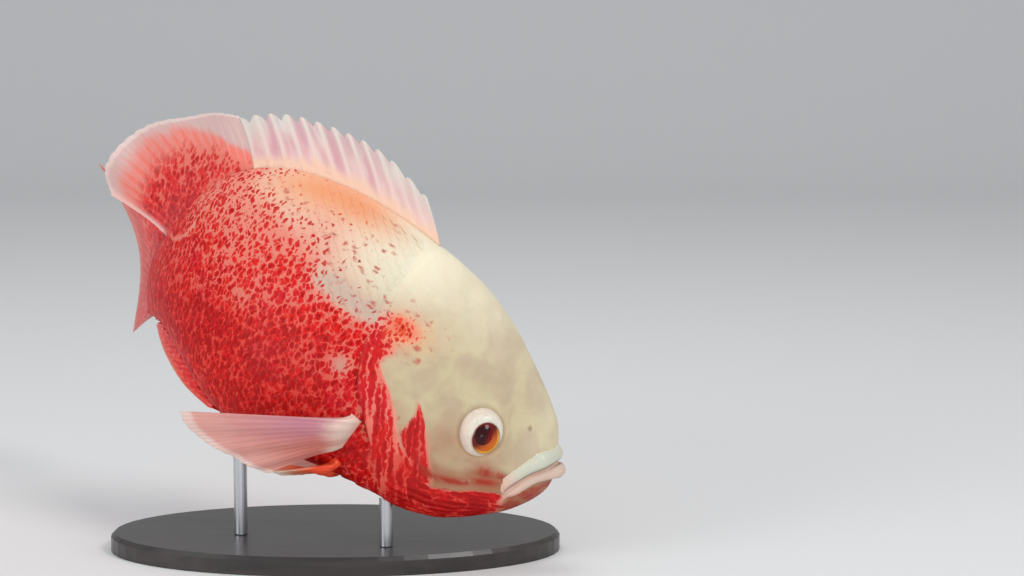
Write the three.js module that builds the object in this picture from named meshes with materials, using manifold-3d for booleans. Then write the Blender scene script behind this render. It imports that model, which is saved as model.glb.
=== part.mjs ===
// An adult albino oscar, Astronotus ocellatus, as a still model at life size. It noses down and
// sweeps its tail away from its right flank. Two short rods hold it over a flat oval base.
// Millimetres, +Z up. The snout points to +X and the right flank faces -Y. The origin is the
// centre of the underside of the base.

import * as THREE from 'three';
import { mergeVertices } from 'three/addons/utils/BufferGeometryUtils.js';
import Module from 'manifold-3d';

const wasm = await Module();
wasm.setup();

const { degToRad, lerp, clamp, smoothstep } = THREE.MathUtils;

// Driving dimensions. A station is a place along the body, counted backwards from the mouth in
// parts of the standard length, and heights over the body axis and half widths use the same unit.
// A turn is the angle round a cross section, from 0 on the back to 180 degrees on the belly.
const STANDARD_LENGTH = 210;
const GAP = 0.3;
const GAP_PART = GAP / STANDARD_LENGTH;
const NECK_GAP = 1.6 * GAP_PART;
const FIN_GAP = 1.4 * GAP_PART;

const NOSE_DOWN = degToRad(23.5);
const HEAD_TOWARDS_VIEWER = degToRad(6);
const LEAN = degToRad(-12.5);
const BEND = degToRad(73);
const BEND_START = 0.25;
const BEND_POWER = 1.29;
const TWIST = degToRad(-16);
const TWIST_START = 0.35;
const TWIST_END = 0.95;
const FISH_POSITION = new THREE.Vector3(85, -25, 39.5);

const SNOUT = 0.002;
const TAIL_START = 0.82;
const TAIL_END = 1;
const BACK = [
  [SNOUT, -0.022], [0.009, -0.004], [0.0195, 0.0205], [0.034, 0.05], [0.06, 0.079], [0.11, 0.124],
  [0.175, 0.176], [0.24, 0.213], [0.3, 0.235], [0.346, 0.248], [0.45, 0.272], [0.55, 0.281],
  [0.65, 0.272], [0.75, 0.232], [0.85, 0.15], [0.93, 0.086], [1, 0.074],
];
const BELLY = [
  [SNOUT, -0.022], [0.003, -0.05], [0.012, -0.076], [0.031, -0.102], [0.054, -0.125],
  [0.105, -0.158], [0.16, -0.184], [0.223, -0.195], [0.272, -0.193], [0.33, -0.189],
  [0.45, -0.191], [0.57, -0.183], [0.66, -0.156], [0.75, -0.118], [0.85, -0.084], [0.93, -0.076],
  [1, -0.075],
];
const HALF_WIDTH = [
  [SNOUT, 0], [0.01, 0.023], [0.03, 0.041], [0.06, 0.055], [0.1, 0.066], [0.146, 0.075],
  [0.2, 0.085], [0.26, 0.094], [0.33, 0.1], [0.42, 0.101], [0.52, 0.094], [0.62, 0.08],
  [0.72, 0.062], [0.82, 0.043], [0.9, 0.03], [1, 0.018],
];
const WIDEST_LEVEL = [
  [SNOUT, -0.022], [0.05, -0.035], [0.15, -0.035], [0.33, -0.005], [0.6, 0.02], [1, 0],
];
const BACK_ROUNDNESS = 1.12;
const BELLY_ROUNDNESS = 0.92;
const RING_POINTS = 40;

// The rear edge of the gill covers, where the head ends, as turn in degrees and station.
const GILL_EDGE = [
  [0, 0.335], [40, 0.352], [69, 0.374], [88, 0.369], [100, 0.357], [113, 0.331], [124, 0.308],
  [140, 0.28], [180, 0.25],
];
const GILL_FRONT = [[50, 0.3], [75, 0.285], [95, 0.255], [120, 0.222], [140, 0.195], [162, 0.17]];
const GILL_TOP_TURN = 55;
const GILL_BOTTOM_TURN = 160;
const GILL_DEPTH = 1.6;
const GILL_LIFT_FRONT = 0.3;
const GILL_LIFT_REAR = 1.2;
const GILL_SLACK = 0.5;
const GILL_OVERCUT = 4;
const GILL_TIP_ROUNDNESS = 0.35;
const FLANK_RADIUS = 0.15;

const GAPE = [
  [0, -0.008], [0.0214, -0.034], [0.04, -0.0535], [0.054, -0.073], [0.0655, -0.092], [0.07, -0.103],
];
const UPPER_LIP = {
  halfHeight: 0.0145,
  halfThickness: 0.0105,
  cornerSize: 0.75,
  thinFrom: 0.45,
  thinTo: 0.9,
  sink: 0.009,
  spread: 0.084,
};
const LOWER_LIP = {
  halfHeight: 0.0125,
  halfThickness: 0.0105,
  cornerSize: 0.6,
  thinFrom: 0.05,
  thinTo: 0.6,
  sink: 0.0046,
  spread: 0.055,
};
const GAPE_FRONT_SLOPE = -0.47;
const LIP_SIDE_SINK = 0.003;
const LIP_SLACK = 0.45;
const LIP_STEPS = 24;
const LIP_SIDES = 8;
const MOUTH_SLIT = 0.5;
const MOUTH_DEPTH = 5;

const EYE = { station: 0.146, height: -0.02, radius: 8.7, tall: 1.1, depth: 6.6, proud: 3.4 };
const CORNEA = { station: 0.137, height: -0.026, radius: 5.8, depth: 2.4, proud: 4 };
const NOSTRIL = { station: 0.072, height: 0.02, radius: 1.1 };

const BASE = { halfLength: 84, halfWidth: 46, height: 7, edge: 1.5 };
const ROD_RADIUS = 2.5;
const ROD_STATIONS = { front: 0.25, rear: 0.555 };

// Cubic curve through a list of places. It is stretched at the snout, so the outline closes round.
function curveThrough(points, stretch = (value) => value) {
  const xs = points.map(([x]) => stretch(x));
  const ys = points.map(([, y]) => y);
  const last = points.length - 1;
  const slope = (i) => {
    const before = Math.max(i - 1, 0);
    const after = Math.min(i + 1, last);
    return (ys[after] - ys[before]) / (xs[after] - xs[before]);
  };
  return (place) => {
    const x = clamp(stretch(place), xs[0], xs[last]);
    let i = 0;
    while (i < last - 1 && x > xs[i + 1]) i += 1;
    const step = xs[i + 1] - xs[i];
    const t = (x - xs[i]) / step;
    const rise = ys[i + 1] - ys[i];
    const left = slope(i) * step - rise;
    const right = rise - slope(i + 1) * step;
    return lerp(ys[i], ys[i + 1], t) + t * (1 - t) * ((1 - t) * left + t * right);
  };
}

const fromSnout = (station) => Math.sqrt(Math.max(station - SNOUT, 0));
const back = curveThrough(BACK, fromSnout);
const belly = curveThrough(BELLY, fromSnout);
const halfWidth = curveThrough(HALF_WIDTH, fromSnout);
const widestLevel = curveThrough(WIDEST_LEVEL, fromSnout);
const gillEdge = curveThrough(GILL_EDGE);
const gillFront = curveThrough(GILL_FRONT);

// The body axis lies in one plane and bends to the fish's left behind the head.
function heading(station) {
  const along = Math.max(station - BEND_START, 0) / (TAIL_END - BEND_START);
  return BEND * along ** BEND_POWER;
}

function axisAt(station) {
  const steps = 40;
  const start = Math.min(station, BEND_START);
  const step = (station - start) / steps;
  let backwards = start;
  let sideways = 0;
  for (let i = 0; i < steps; i += 1) {
    const angle = heading(start + (i + 0.5) * step);
    backwards += Math.cos(angle) * step;
    sideways += Math.sin(angle) * step;
  }
  return new THREE.Vector3(-backwards, sideways, 0).multiplyScalar(STANDARD_LENGTH);
}

// Directions at a station: backwards along the axis, to the fish's left and towards its back.
function directionsAt(station, angle = heading(station)) {
  const twist = TWIST * smoothstep(station, TWIST_START, TWIST_END);
  const level = new THREE.Vector3(Math.sin(angle), Math.cos(angle), 0);
  const upright = new THREE.Vector3(0, 0, 1);
  const rear = new THREE.Vector3(-Math.cos(angle), Math.sin(angle), 0);
  const left = level.clone().multiplyScalar(Math.cos(twist)).addScaledVector(upright, -Math.sin(twist));
  const up = upright.multiplyScalar(Math.cos(twist)).addScaledVector(level, Math.sin(twist));
  return { rear, left, up };
}

// A point of the bent fish from its station, its offset to the left and its height.
function place(station, side, height) {
  const { left, up } = directionsAt(station);
  return axisAt(station)
    .addScaledVector(left, side * STANDARD_LENGTH)
    .addScaledVector(up, height * STANDARD_LENGTH);
}

// A point on the skin. Turns over 180 degrees lie on the left flank, and grow is in millimetres.
function skin(station, turn, grow = 0) {
  const level = widestLevel(station);
  const onBack = Math.cos(turn) > 0;
  const reach = onBack ? back(station) - level : level - belly(station);
  const power = onBack ? BACK_ROUNDNESS : BELLY_ROUNDNESS;
  const width = halfWidth(station);
  const sine = Math.sin(turn);
  const outward = new THREE.Vector2(sine * reach, Math.cos(turn) * width).normalize();
  const side = width * Math.sign(sine) * Math.abs(sine) ** power + (outward.x * grow) / STANDARD_LENGTH;
  const height = level + reach * Math.cos(turn) + (outward.y * grow) / STANDARD_LENGTH;
  return place(station, -side, height);
}

function skinNormal(station, turn) {
  const small = 0.004;
  const along = skin(station + small, turn).sub(skin(station - small, turn));
  const round = skin(station, turn + small).sub(skin(station, turn - small));
  return along.cross(round).normalize();
}

// The turn on the right flank at which the skin has a given height.
function turnAt(station, height) {
  const level = widestLevel(station);
  const reach = height > level ? back(station) - level : level - belly(station);
  return Math.acos(clamp((height - level) / reach, -1, 1));
}

// Builds a geometry from points and faces, with its faces turned outwards.
function closedGeometry(points, faces) {
  const index = faces.flat();
  let volume = 0;
  for (const [a, b, c] of faces) volume += points[a].dot(points[b].clone().cross(points[c]));
  if (volume < 0) index.reverse();
  const geometry = new THREE.BufferGeometry().setFromPoints(points);
  geometry.setIndex(index);
  const merged = mergeVertices(geometry, 1e-4);
  const corner = merged.getIndex().array;
  const kept = [];
  for (let i = 0; i < corner.length; i += 3) {
    const [a, b, c] = corner.slice(i, i + 3);
    if (a !== b && b !== c && c !== a) kept.push(a, b, c);
  }
  merged.setIndex(kept);
  merged.computeVertexNormals();
  return merged;
}

// A tube through rings of points. Each end is closed from flank to flank.
function loft(rings) {
  const count = rings[0].length;
  const points = rings.flat();
  const faces = [];
  for (let i = 0; i + 1 < rings.length; i += 1) {
    for (let j = 0; j < count; j += 1) {
      const a = i * count + j;
      const b = i * count + ((j + 1) % count);
      faces.push([a, a + count, b], [b, a + count, b + count]);
    }
  }
  const lastRing = (rings.length - 1) * count;
  for (let j = 0; j < count / 2; j += 1) {
    const mirror = (count - j) % count;
    faces.push([j, j + 1, mirror], [j + 1, count - j - 1, mirror]);
    faces.push([lastRing + j, lastRing + mirror, lastRing + j + 1]);
    faces.push([lastRing + j + 1, lastRing + mirror, lastRing + count - j - 1]);
  }
  return closedGeometry(points, faces);
}

// A sheet with an upper and a lower grid of the same size, split alike into triangles.
function slab(upper, lower) {
  const rows = upper.length;
  const columns = upper[0].length;
  const points = [...upper.flat(), ...lower.flat()];
  const offset = rows * columns;
  const faces = [];
  for (let i = 0; i + 1 < rows; i += 1) {
    for (let j = 0; j + 1 < columns; j += 1) {
      const a = i * columns + j;
      const b = a + columns;
      faces.push([a, b, a + 1], [a + 1, b, b + 1]);
      faces.push([offset + a, offset + a + 1, offset + b]);
      faces.push([offset + a + 1, offset + b + 1, offset + b]);
    }
  }
  const wall = (a, b) => faces.push([a, b, offset + a], [b, offset + b, offset + a]);
  for (let j = 0; j + 1 < columns; j += 1) {
    wall(j, j + 1);
    wall((rows - 1) * columns + j + 1, (rows - 1) * columns + j);
  }
  for (let i = 0; i + 1 < rows; i += 1) {
    wall((i + 1) * columns, i * columns);
    wall(i * columns + columns - 1, (i + 1) * columns + columns - 1);
  }
  return closedGeometry(points, faces);
}

function toSolid(geometry) {
  const bare = geometry.clone();
  bare.deleteAttribute('normal');
  bare.deleteAttribute('uv');
  const merged = mergeVertices(bare, 1e-4);
  const vertProperties = Float32Array.from(merged.getAttribute('position').array);
  const triVerts = Uint32Array.from(merged.getIndex().array);
  return new wasm.Manifold(new wasm.Mesh({ numProp: 3, vertProperties, triVerts }));
}

// The largest closed surface of a solid, as a geometry.
function fromSolid(solid) {
  const pieces = solid.decompose().sort((a, b) => b.volume() - a.volume());
  const mesh = pieces[0].getMesh();
  const geometry = new THREE.BufferGeometry();
  geometry.setAttribute('position', new THREE.BufferAttribute(mesh.vertProperties, 3));
  geometry.setIndex(new THREE.BufferAttribute(mesh.triVerts, 1));
  geometry.computeVertexNormals();
  return geometry;
}

// Rings of the body between two ends. An end is a station for each turn.
function bodyRings(startAt, endAt, count, grow = 0, ease = 1) {
  const rings = [];
  for (let i = 0; i <= count; i += 1) {
    const along = (i / count) ** ease;
    const ring = [];
    for (let j = 0; j < RING_POINTS; j += 1) {
      const turn = (2 * Math.PI * j) / RING_POINTS;
      const station = lerp(startAt(turn), endAt(turn), along);
      ring.push(skin(station, turn, grow));
    }
    rings.push(ring);
  }
  return rings;
}

const gillEdgeAt = (turn) => gillEdge(THREE.MathUtils.radToDeg(Math.min(turn, 2 * Math.PI - turn)));

// The gill cover of one flank, a plate that rises towards its free rear edge. Slack widens it
// on every side, for the recess that it lies in. The recess is cut wider still, by the overcut,
// where it opens to the rear and to the outside.
function gillPlate(side, slack) {
  const rows = 12;
  const columns = 6;
  const slackPart = slack / STANDARD_LENGTH;
  const slackTurn = slackPart / FLANK_RADIUS;
  const outer = [];
  const inner = [];
  for (let i = 0; i <= rows; i += 1) {
    const top = degToRad(GILL_TOP_TURN) - slackTurn;
    const bottom = degToRad(GILL_BOTTOM_TURN) + slackTurn;
    const turn = lerp(top, bottom, i / rows);
    const degrees = THREE.MathUtils.radToDeg(turn);
    const edge = gillEdge(degrees) - NECK_GAP;
    const narrow = Math.sin((Math.PI * (i + 0.6)) / (rows + 1.2)) ** GILL_TIP_ROUNDNESS;
    const start = lerp(edge, gillFront(degrees), narrow) - slackPart;
    const end = edge + slackPart * GILL_OVERCUT;
    const outerRow = [];
    const innerRow = [];
    for (let j = 0; j <= columns; j += 1) {
      const along = j / columns;
      const station = lerp(start, end, along);
      const signedTurn = side * turn;
      const normal = skinNormal(station, signedTurn);
      const lift = lerp(GILL_LIFT_FRONT, GILL_LIFT_REAR, along) * narrow;
      const outwards = lift + slack * GILL_OVERCUT;
      outerRow.push(skin(station, signedTurn).addScaledVector(normal, outwards));
      innerRow.push(skin(station, signedTurn).addScaledVector(normal, -GILL_DEPTH - slack));
    }
    outer.push(outerRow);
    inner.push(innerRow);
  }
  return slab(outer, inner);
}

const gapeHeight = curveThrough(GAPE);

// A roll along the gape, from corner to corner round the front of the mouth. Direction puts it
// above the slit, with 1, or below it, with -1. Spread is how fast its front widens, and sink how
// deep it lies in the snout there. Its ends are blunt.
function mouthRoll({
  direction,
  halfHeight,
  halfThickness,
  grow = 0,
  cornerSize = 1,
  thinFrom = 0.4,
  thinTo = 1,
  sink = 0,
  spread = 0.06,
}) {
  const growPart = grow / STANDARD_LENGTH;
  const rings = [];
  for (let i = 0; i <= LIP_STEPS; i += 1) {
    const across = lerp(-1, 1, i / LIP_STEPS);
    const far = Math.abs(across);
    const station = GAPE[GAPE.length - 1][0] * far ** 1.5;
    const ahead = 0.001;
    const slope = (gapeHeight(station) - gapeHeight(station - ahead)) / ahead;
    const slopeHere = lerp(GAPE_FRONT_SLOPE, slope, smoothstep(far, 0, 0.4));
    const slopeDown = new THREE.Vector2(1, slopeHere).normalize();
    const blunt = Math.sqrt(1 - 0.95 * clamp((far - 0.88) / 0.12, 0, 1) ** 2);
    const size = lerp(1, cornerSize, smoothstep(far, thinFrom, thinTo)) * blunt;
    const high = halfHeight * size + growPart;
    const thick = halfThickness * size + growPart;
    const shift = direction * (halfHeight * size + MOUTH_SLIT / 2 / STANDARD_LENGTH);
    const shifted = station - shift * slopeDown.y;
    const height = gapeHeight(station) + shift * slopeDown.x;
    const onSkin = halfWidth(shifted) * Math.sin(turnAt(shifted, height));
    const roundFront = spread * Math.sin((Math.PI / 2) * far) ** 0.9;
    const onFlank = smoothstep(far, 0.25, 0.6);
    const centre = place(shifted, -Math.sign(across) * lerp(roundFront, onSkin, onFlank), height);
    const swing = (Math.PI / 2) * far ** 0.8;
    const outward = new THREE.Vector3(
      slopeDown.x * Math.cos(swing),
      -Math.sign(across) * Math.sin(swing),
      -slopeDown.y * Math.cos(swing),
    ).normalize();
    const upward = new THREE.Vector3(slopeDown.y, 0, slopeDown.x);
    centre.addScaledVector(outward, -lerp(sink, LIP_SIDE_SINK, onFlank) * STANDARD_LENGTH);
    const isEnd = i % LIP_STEPS === 0;
    if (isEnd) centre.addScaledVector(new THREE.Vector3(-slopeDown.x, 0, slopeDown.y), grow);
    const ring = [];
    for (let j = 0; j < LIP_SIDES; j += 1) {
      const angle = (2 * Math.PI * j) / LIP_SIDES;
      const point = centre.clone();
      point.addScaledVector(upward, Math.cos(angle) * high * STANDARD_LENGTH);
      point.addScaledVector(outward, Math.sin(angle) * thick * STANDARD_LENGTH);
      ring.push(point);
    }
    rings.push(ring);
  }
  return loft(rings);
}

function lip(direction, grow) {
  return mouthRoll({ direction, grow, ...(direction > 0 ? UPPER_LIP : LOWER_LIP) });
}

// A ball pressed flat along the skin's normal, on the flank at a station and height.
function ballOnSkin({ station, height, side, radius, tall = 1, depth, proud }) {
  const turn = side * turnAt(station, height);
  const normal = skinNormal(station, turn);
  const centre = skin(station, turn).addScaledVector(normal, proud - depth);
  const geometry = new THREE.SphereGeometry(1, 16, 10).scale(radius, radius * tall, depth);
  const lookOut = new THREE.Quaternion().setFromUnitVectors(new THREE.Vector3(0, 0, 1), normal);
  return geometry.applyQuaternion(lookOut).translate(centre.x, centre.y, centre.z);
}

function eyeball(side, grow = 0) {
  const { radius, depth, proud } = EYE;
  const ball = { ...EYE, side, radius: radius + grow, depth: depth + grow, proud: proud + grow };
  const cornea = { ...CORNEA, side };
  return toSolid(ballOnSkin(ball)).add(toSolid(ballOnSkin(cornea)));
}

// A line of a fin ray. It leaves its root at an angle to the axis and curves as the water bends
// it: sweep is measured from straight up or down, curl turns it back towards the head's heading.
function medianRay({ station, direction, sweep, length, curl, sweepBack = 0 }) {
  const edge = direction > 0 ? back(station) : belly(station);
  const root = place(station, 0, edge + direction * FIN_GAP);
  return (far) => {
    const steps = 12;
    const point = root.clone();
    for (let i = 0; i < steps; i += 1) {
      const part = ((i + 0.5) / steps) * far;
      const { rear, up } = directionsAt(station, heading(station) - curl * part);
      const angle = sweep + sweepBack * part;
      const step = (length * far * STANDARD_LENGTH) / steps;
      point.addScaledVector(rear, Math.sin(angle) * step);
      point.addScaledVector(up, direction * Math.cos(angle) * step);
    }
    return point;
  };
}

// A fin from its rays. The membrane between two rays is thin, each ray is a ridge raised in both
// faces, and the notch shortens the membrane between the tips.
function finSheet(rays, { reaches, root, tip, ridge, ridgeWidth, notch }) {
  const columns = [];
  rays.forEach((ray, i) => {
    const next = rays[i + 1];
    columns.push({ at: ray, raised: 1 });
    if (!next) return;
    const between = (share, short) => (far) => ray(far * short).lerp(next(far * short), share);
    if (ridgeWidth > 0) columns.push({ at: between(ridgeWidth, 1 - notch / 2), raised: 0 });
    columns.push({ at: between(0.5, 1 - notch), raised: 0 });
    if (ridgeWidth > 0) columns.push({ at: between(1 - ridgeWidth, 1 - notch / 2), raised: 0 });
  });
  const middle = reaches.map((far) => columns.map(({ at }) => at(far)));
  const front = [];
  const rear = [];
  reaches.forEach((far, i) => {
    const frontRow = [];
    const rearRow = [];
    columns.forEach(({ raised }, j) => {
      const here = middle[i][j];
      const nextColumn = middle[i][Math.min(j + 1, columns.length - 1)];
      const nextRow = middle[Math.min(i + 1, reaches.length - 1)][j];
      const across = nextColumn.clone().sub(middle[i][Math.max(j - 1, 0)]);
      const outwards = nextRow.clone().sub(middle[Math.max(i - 1, 0)][j]);
      const normal = across.cross(outwards).normalize();
      const half = lerp(root, tip, Math.sqrt(far)) / 2 + raised * ridge * (1 - 0.8 * far);
      frontRow.push(here.clone().addScaledVector(normal, half));
      rearRow.push(here.clone().addScaledVector(normal, -half));
    });
    front.push(frontRow);
    rear.push(rearRow);
  });
  return slab(front, rear);
}

const MEDIAN_REACHES = [0, 0.12, 0.3, 0.5, 0.7, 0.87, 1];
const range = (count) => Array.from({ length: count }, (_, i) => i / (count - 1));

const DORSAL_SPINES = 13;
const DORSAL_RAYS = 20;
const DORSAL = { start: 0.35, change: 0.715, end: 0.945 };

function dorsalSpines() {
  const lengthAt = curveThrough([[0, 0.085], [0.1, 0.1], [0.22, 0.115], [0.5, 0.114], [1, 0.105]]);
  const rays = range(DORSAL_SPINES).map((along) => medianRay({
    station: lerp(DORSAL.start, DORSAL.change, along),
    direction: 1,
    sweep: degToRad(lerp(36, 42, along)),
    length: lengthAt(along),
    curl: degToRad(10),
    sweepBack: degToRad(8),
  }));
  const shape = { root: 1.7, tip: 0.5, ridge: 0.45, ridgeWidth: 0.16, notch: 0.16 };
  return finSheet(rays, { reaches: [0, 0.2, 0.45, 0.7, 0.88, 1], ...shape });
}

function dorsalRays() {
  const lengthAt = curveThrough([[0, 0.108], [0.3, 0.168], [0.55, 0.23], [0.8, 0.236], [1, 0.195]]);
  const sweepAt = curveThrough([[0, 42], [0.35, 55], [0.6, 67], [0.8, 78], [1, 82]]);
  const curlAt = curveThrough([[0, 10], [0.35, 8], [0.6, 34], [0.8, 56], [1, 60]]);
  const rays = range(DORSAL_RAYS).map((along) => medianRay({
    station: lerp(DORSAL.change + 0.0035, DORSAL.end, along),
    direction: 1,
    sweep: degToRad(sweepAt(along)),
    length: lengthAt(along),
    curl: degToRad(curlAt(along)),
    sweepBack: degToRad(lerp(8, 0, along)),
  }));
  const shape = { root: 2, tip: 0.5, ridge: 0.35, ridgeWidth: 0, notch: 0.02 };
  return finSheet(rays, { reaches: MEDIAN_REACHES, ...shape });
}

const ANAL_RAYS = 18;
const ANAL = { start: 0.61, end: 0.9 };

function analRays() {
  const lengthAt = curveThrough([[0, 0.035], [0.2, 0.065], [0.5, 0.084], [0.8, 0.078], [1, 0.05]]);
  const rays = range(ANAL_RAYS).map((along) => medianRay({
    station: lerp(ANAL.start, ANAL.end, along),
    direction: -1,
    sweep: degToRad(lerp(84, 78, along)),
    length: lengthAt(along),
    curl: degToRad(-22),
  }));
  const shape = { root: 2, tip: 0.5, ridge: 0.35, ridgeWidth: 0, notch: 0.03 };
  return finSheet(rays, { reaches: MEDIAN_REACHES, ...shape });
}

const CAUDAL_RAYS = 17;
const CAUDAL = {
  lengthEdge: 0.275,
  lengthMiddle: 0.259,
  spreadUp: 19,
  spreadDown: -11,
  curlUp: 66,
  curlPower: 4,
};

function caudalRays() {
  const rays = range(CAUDAL_RAYS).map((along) => {
    const height = lerp(belly(TAIL_END), back(TAIL_END), along) * 0.97;
    const { rear: startRear } = directionsAt(TAIL_END);
    const root = place(TAIL_END, 0, height).addScaledVector(startRear, GAP);
    const spread = degToRad(lerp(CAUDAL.spreadDown, CAUDAL.spreadUp, along));
    const curl = degToRad(CAUDAL.curlUp * along ** CAUDAL.curlPower);
    const edge = Math.abs(2 * along - 1) ** 2;
    const length = lerp(CAUDAL.lengthMiddle, CAUDAL.lengthEdge, edge);
    return (far) => {
      const steps = 12;
      const point = root.clone();
      for (let i = 0; i < steps; i += 1) {
        const part = ((i + 0.5) / steps) * far;
        const { rear, up } = directionsAt(TAIL_END, heading(TAIL_END) - curl * part);
        const step = (length * far * STANDARD_LENGTH) / steps;
        point.addScaledVector(rear, Math.cos(spread) * step);
        point.addScaledVector(up, Math.sin(spread) * step);
      }
      return point;
    };
  });
  const shape = { root: 3.4, tip: 0.5, ridge: 0.35, ridgeWidth: 0, notch: 0.02 };
  return finSheet(rays, { reaches: MEDIAN_REACHES, ...shape });
}

// A ray of a paired fin. It leaves the flank outwards and soon folds back along the body. Drop
// is its angle below the body axis and flare its angle away from the flank.
function pairedRay({ station, turn, side, drop, flare, length, bend }) {
  const signedTurn = side * turn;
  const normal = skinNormal(station, signedTurn);
  const root = skin(station, signedTurn).addScaledVector(normal, GAP + 0.1);
  const { rear, left, up } = directionsAt(station);
  const along = rear.clone().multiplyScalar(Math.cos(drop)).addScaledVector(up, -Math.sin(drop));
  return (far) => {
    const steps = 16;
    const point = root.clone();
    for (let i = 0; i < steps; i += 1) {
      const part = ((i + 0.5) / steps) * far;
      const folded = smoothstep(part, 0, 0.16);
      const out = flare - bend * part;
      const lying = along.clone().multiplyScalar(Math.cos(out));
      lying.addScaledVector(left, -side * Math.sin(out));
      const step = (length * far * STANDARD_LENGTH) / steps;
      point.addScaledVector(normal.clone().lerp(lying, folded).normalize(), step);
    }
    return point;
  };
}

const PECTORAL_RAYS = 13;
const PAIRED_REACHES = [0, 0.05, 0.11, 0.18, 0.35, 0.55, 0.78, 1];

function pectoralFin(side, flare) {
  const lengthAt = curveThrough([[0, 0.32], [0.2, 0.29], [0.5, 0.22], [0.8, 0.165], [1, 0.13]]);
  const rays = range(PECTORAL_RAYS).map((along) => {
    const station = lerp(0.341, 0.355, along);
    const height = lerp(-0.084, -0.138, along);
    return pairedRay({
      station,
      turn: turnAt(station, height),
      side,
      drop: degToRad(lerp(21, 46, along)),
      flare: degToRad(flare),
      length: lengthAt(along),
      bend: degToRad(14),
    });
  });
  const shape = { root: 4.6, tip: 0.5, ridge: 0.25, ridgeWidth: 0, notch: 0.02 };
  return finSheet(rays, { reaches: PAIRED_REACHES, ...shape });
}

const PELVIC_RAYS = 6;

function pelvicFin(side, flare) {
  const lengthAt = curveThrough([[0, 0.105], [0.2, 0.13], [0.5, 0.135], [1, 0.1]]);
  const rays = range(PELVIC_RAYS).map((along) => {
    const station = lerp(0.345, 0.362, along);
    return pairedRay({
      station,
      turn: degToRad(lerp(150, 166, along)),
      side,
      drop: degToRad(lerp(32, 12, along)),
      flare: degToRad(flare),
      length: lengthAt(along),
      bend: degToRad(8),
    });
  });
  const shape = { root: 3.2, tip: 0.5, ridge: 0.3, ridgeWidth: 0, notch: 0.05 };
  return finSheet(rays, { reaches: PAIRED_REACHES, ...shape });
}

function material(color, roughness) {
  return new THREE.MeshStandardMaterial({ color, roughness, metalness: 0 });
}

const COLOURS = {
  ivory: 0xe6dcc0,
  lip: 0xdfe0d0,
  red: 0xd23a2a,
  fin: 0xe59a8e,
  eye: 0xf1ece2,
  stand: 0x26262a,
  steel: 0xb9bcc0,
};

const part = new THREE.Group();
const fish = new THREE.Group();
fish.rotation.set(LEAN, NOSE_DOWN, -HEAD_TOWARDS_VIEWER, 'ZYX');
fish.position.copy(FISH_POSITION);
fish.updateMatrixWorld(true);
part.add(fish);

function addMesh(group, name, geometry, color, roughness = 0.45) {
  const mesh = new THREE.Mesh(geometry, material(color, roughness));
  mesh.name = name;
  group.add(mesh);
  return mesh;
}

const SIDES = [['right', 1], ['left', -1]];

function headSolid() {
  const toGills = bodyRings(() => SNOUT, (turn) => gillEdgeAt(turn) - NECK_GAP, 26, 0, 1.3);
  let head = toSolid(loft(toGills));
  head = head.subtract(toSolid(lip(1, LIP_SLACK))).subtract(toSolid(lip(-1, LIP_SLACK)));
  const halfHeight = MOUTH_SLIT / STANDARD_LENGTH;
  const halfThickness = MOUTH_DEPTH / STANDARD_LENGTH;
  head = head.subtract(toSolid(mouthRoll({ direction: 0, halfHeight, halfThickness })));
  for (const [, side] of SIDES) {
    head = head.subtract(toSolid(gillPlate(side, GILL_SLACK)));
    head = head.subtract(eyeball(side, GAP));
    const nostril = { ...NOSTRIL, side, depth: NOSTRIL.radius * 1.5, proud: NOSTRIL.radius / 2 };
    head = head.subtract(toSolid(ballOnSkin(nostril)));
  }
  return head;
}

addMesh(fish, 'head', fromSolid(headSolid()), COLOURS.ivory);
addMesh(fish, 'upper_lip', lip(1, 0), COLOURS.lip);
addMesh(fish, 'lower_lip', lip(-1, 0), COLOURS.lip);
addMesh(fish, 'torso', loft(bodyRings(gillEdgeAt, () => TAIL_START - GAP_PART, 15)), COLOURS.red);
addMesh(fish, 'tail', loft(bodyRings(() => TAIL_START, () => TAIL_END, 8)), COLOURS.red);
addMesh(fish, 'dorsal_fin_spiny', dorsalSpines(), COLOURS.fin);
addMesh(fish, 'dorsal_fin_soft', dorsalRays(), COLOURS.fin);
addMesh(fish, 'anal_fin', analRays(), COLOURS.fin);
addMesh(fish, 'caudal_fin', caudalRays(), COLOURS.fin);
for (const [name, side] of SIDES) {
  addMesh(fish, `gill_cover_${name}`, gillPlate(side, 0), COLOURS.ivory);
  addMesh(fish, `eye_${name}`, fromSolid(eyeball(side)), COLOURS.eye, 0.15);
  addMesh(fish, `pectoral_fin_${name}`, pectoralFin(side, side > 0 ? 9 : 34), COLOURS.fin);
  addMesh(fish, `pelvic_fin_${name}`, pelvicFin(side, side > 0 ? 4 : 14), COLOURS.fin);
}

// The stand. Each rod is cut to the form of the belly that it carries.
const stand = new THREE.Group();
part.add(stand);

function standBase() {
  const { halfLength, halfWidth: halfBreadth, height, edge } = BASE;
  const profile = [
    new THREE.Vector2(0, 0),
    new THREE.Vector2(halfLength, 0),
    new THREE.Vector2(halfLength, height - edge),
    new THREE.Vector2(halfLength - edge, height),
    new THREE.Vector2(0, height),
  ];
  const plate = new THREE.LatheGeometry(profile, 56).rotateX(Math.PI / 2);
  return fromSolid(toSolid(plate.scale(1, halfBreadth / halfLength, 1)));
}

const grownRings = bodyRings(() => SNOUT, () => TAIL_END, 50, GAP, 1.2);
const grownBody = toSolid(loft(grownRings).applyMatrix4(fish.matrixWorld));

function standRod(station) {
  const foot = skin(station, Math.PI).applyMatrix4(fish.matrixWorld);
  const top = foot.z + 20;
  const rod = new THREE.CylinderGeometry(ROD_RADIUS, ROD_RADIUS, top - BASE.height - GAP, 20);
  rod.rotateX(Math.PI / 2).translate(foot.x, foot.y, (top + BASE.height + GAP) / 2);
  return fromSolid(toSolid(rod).subtract(grownBody));
}

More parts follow.
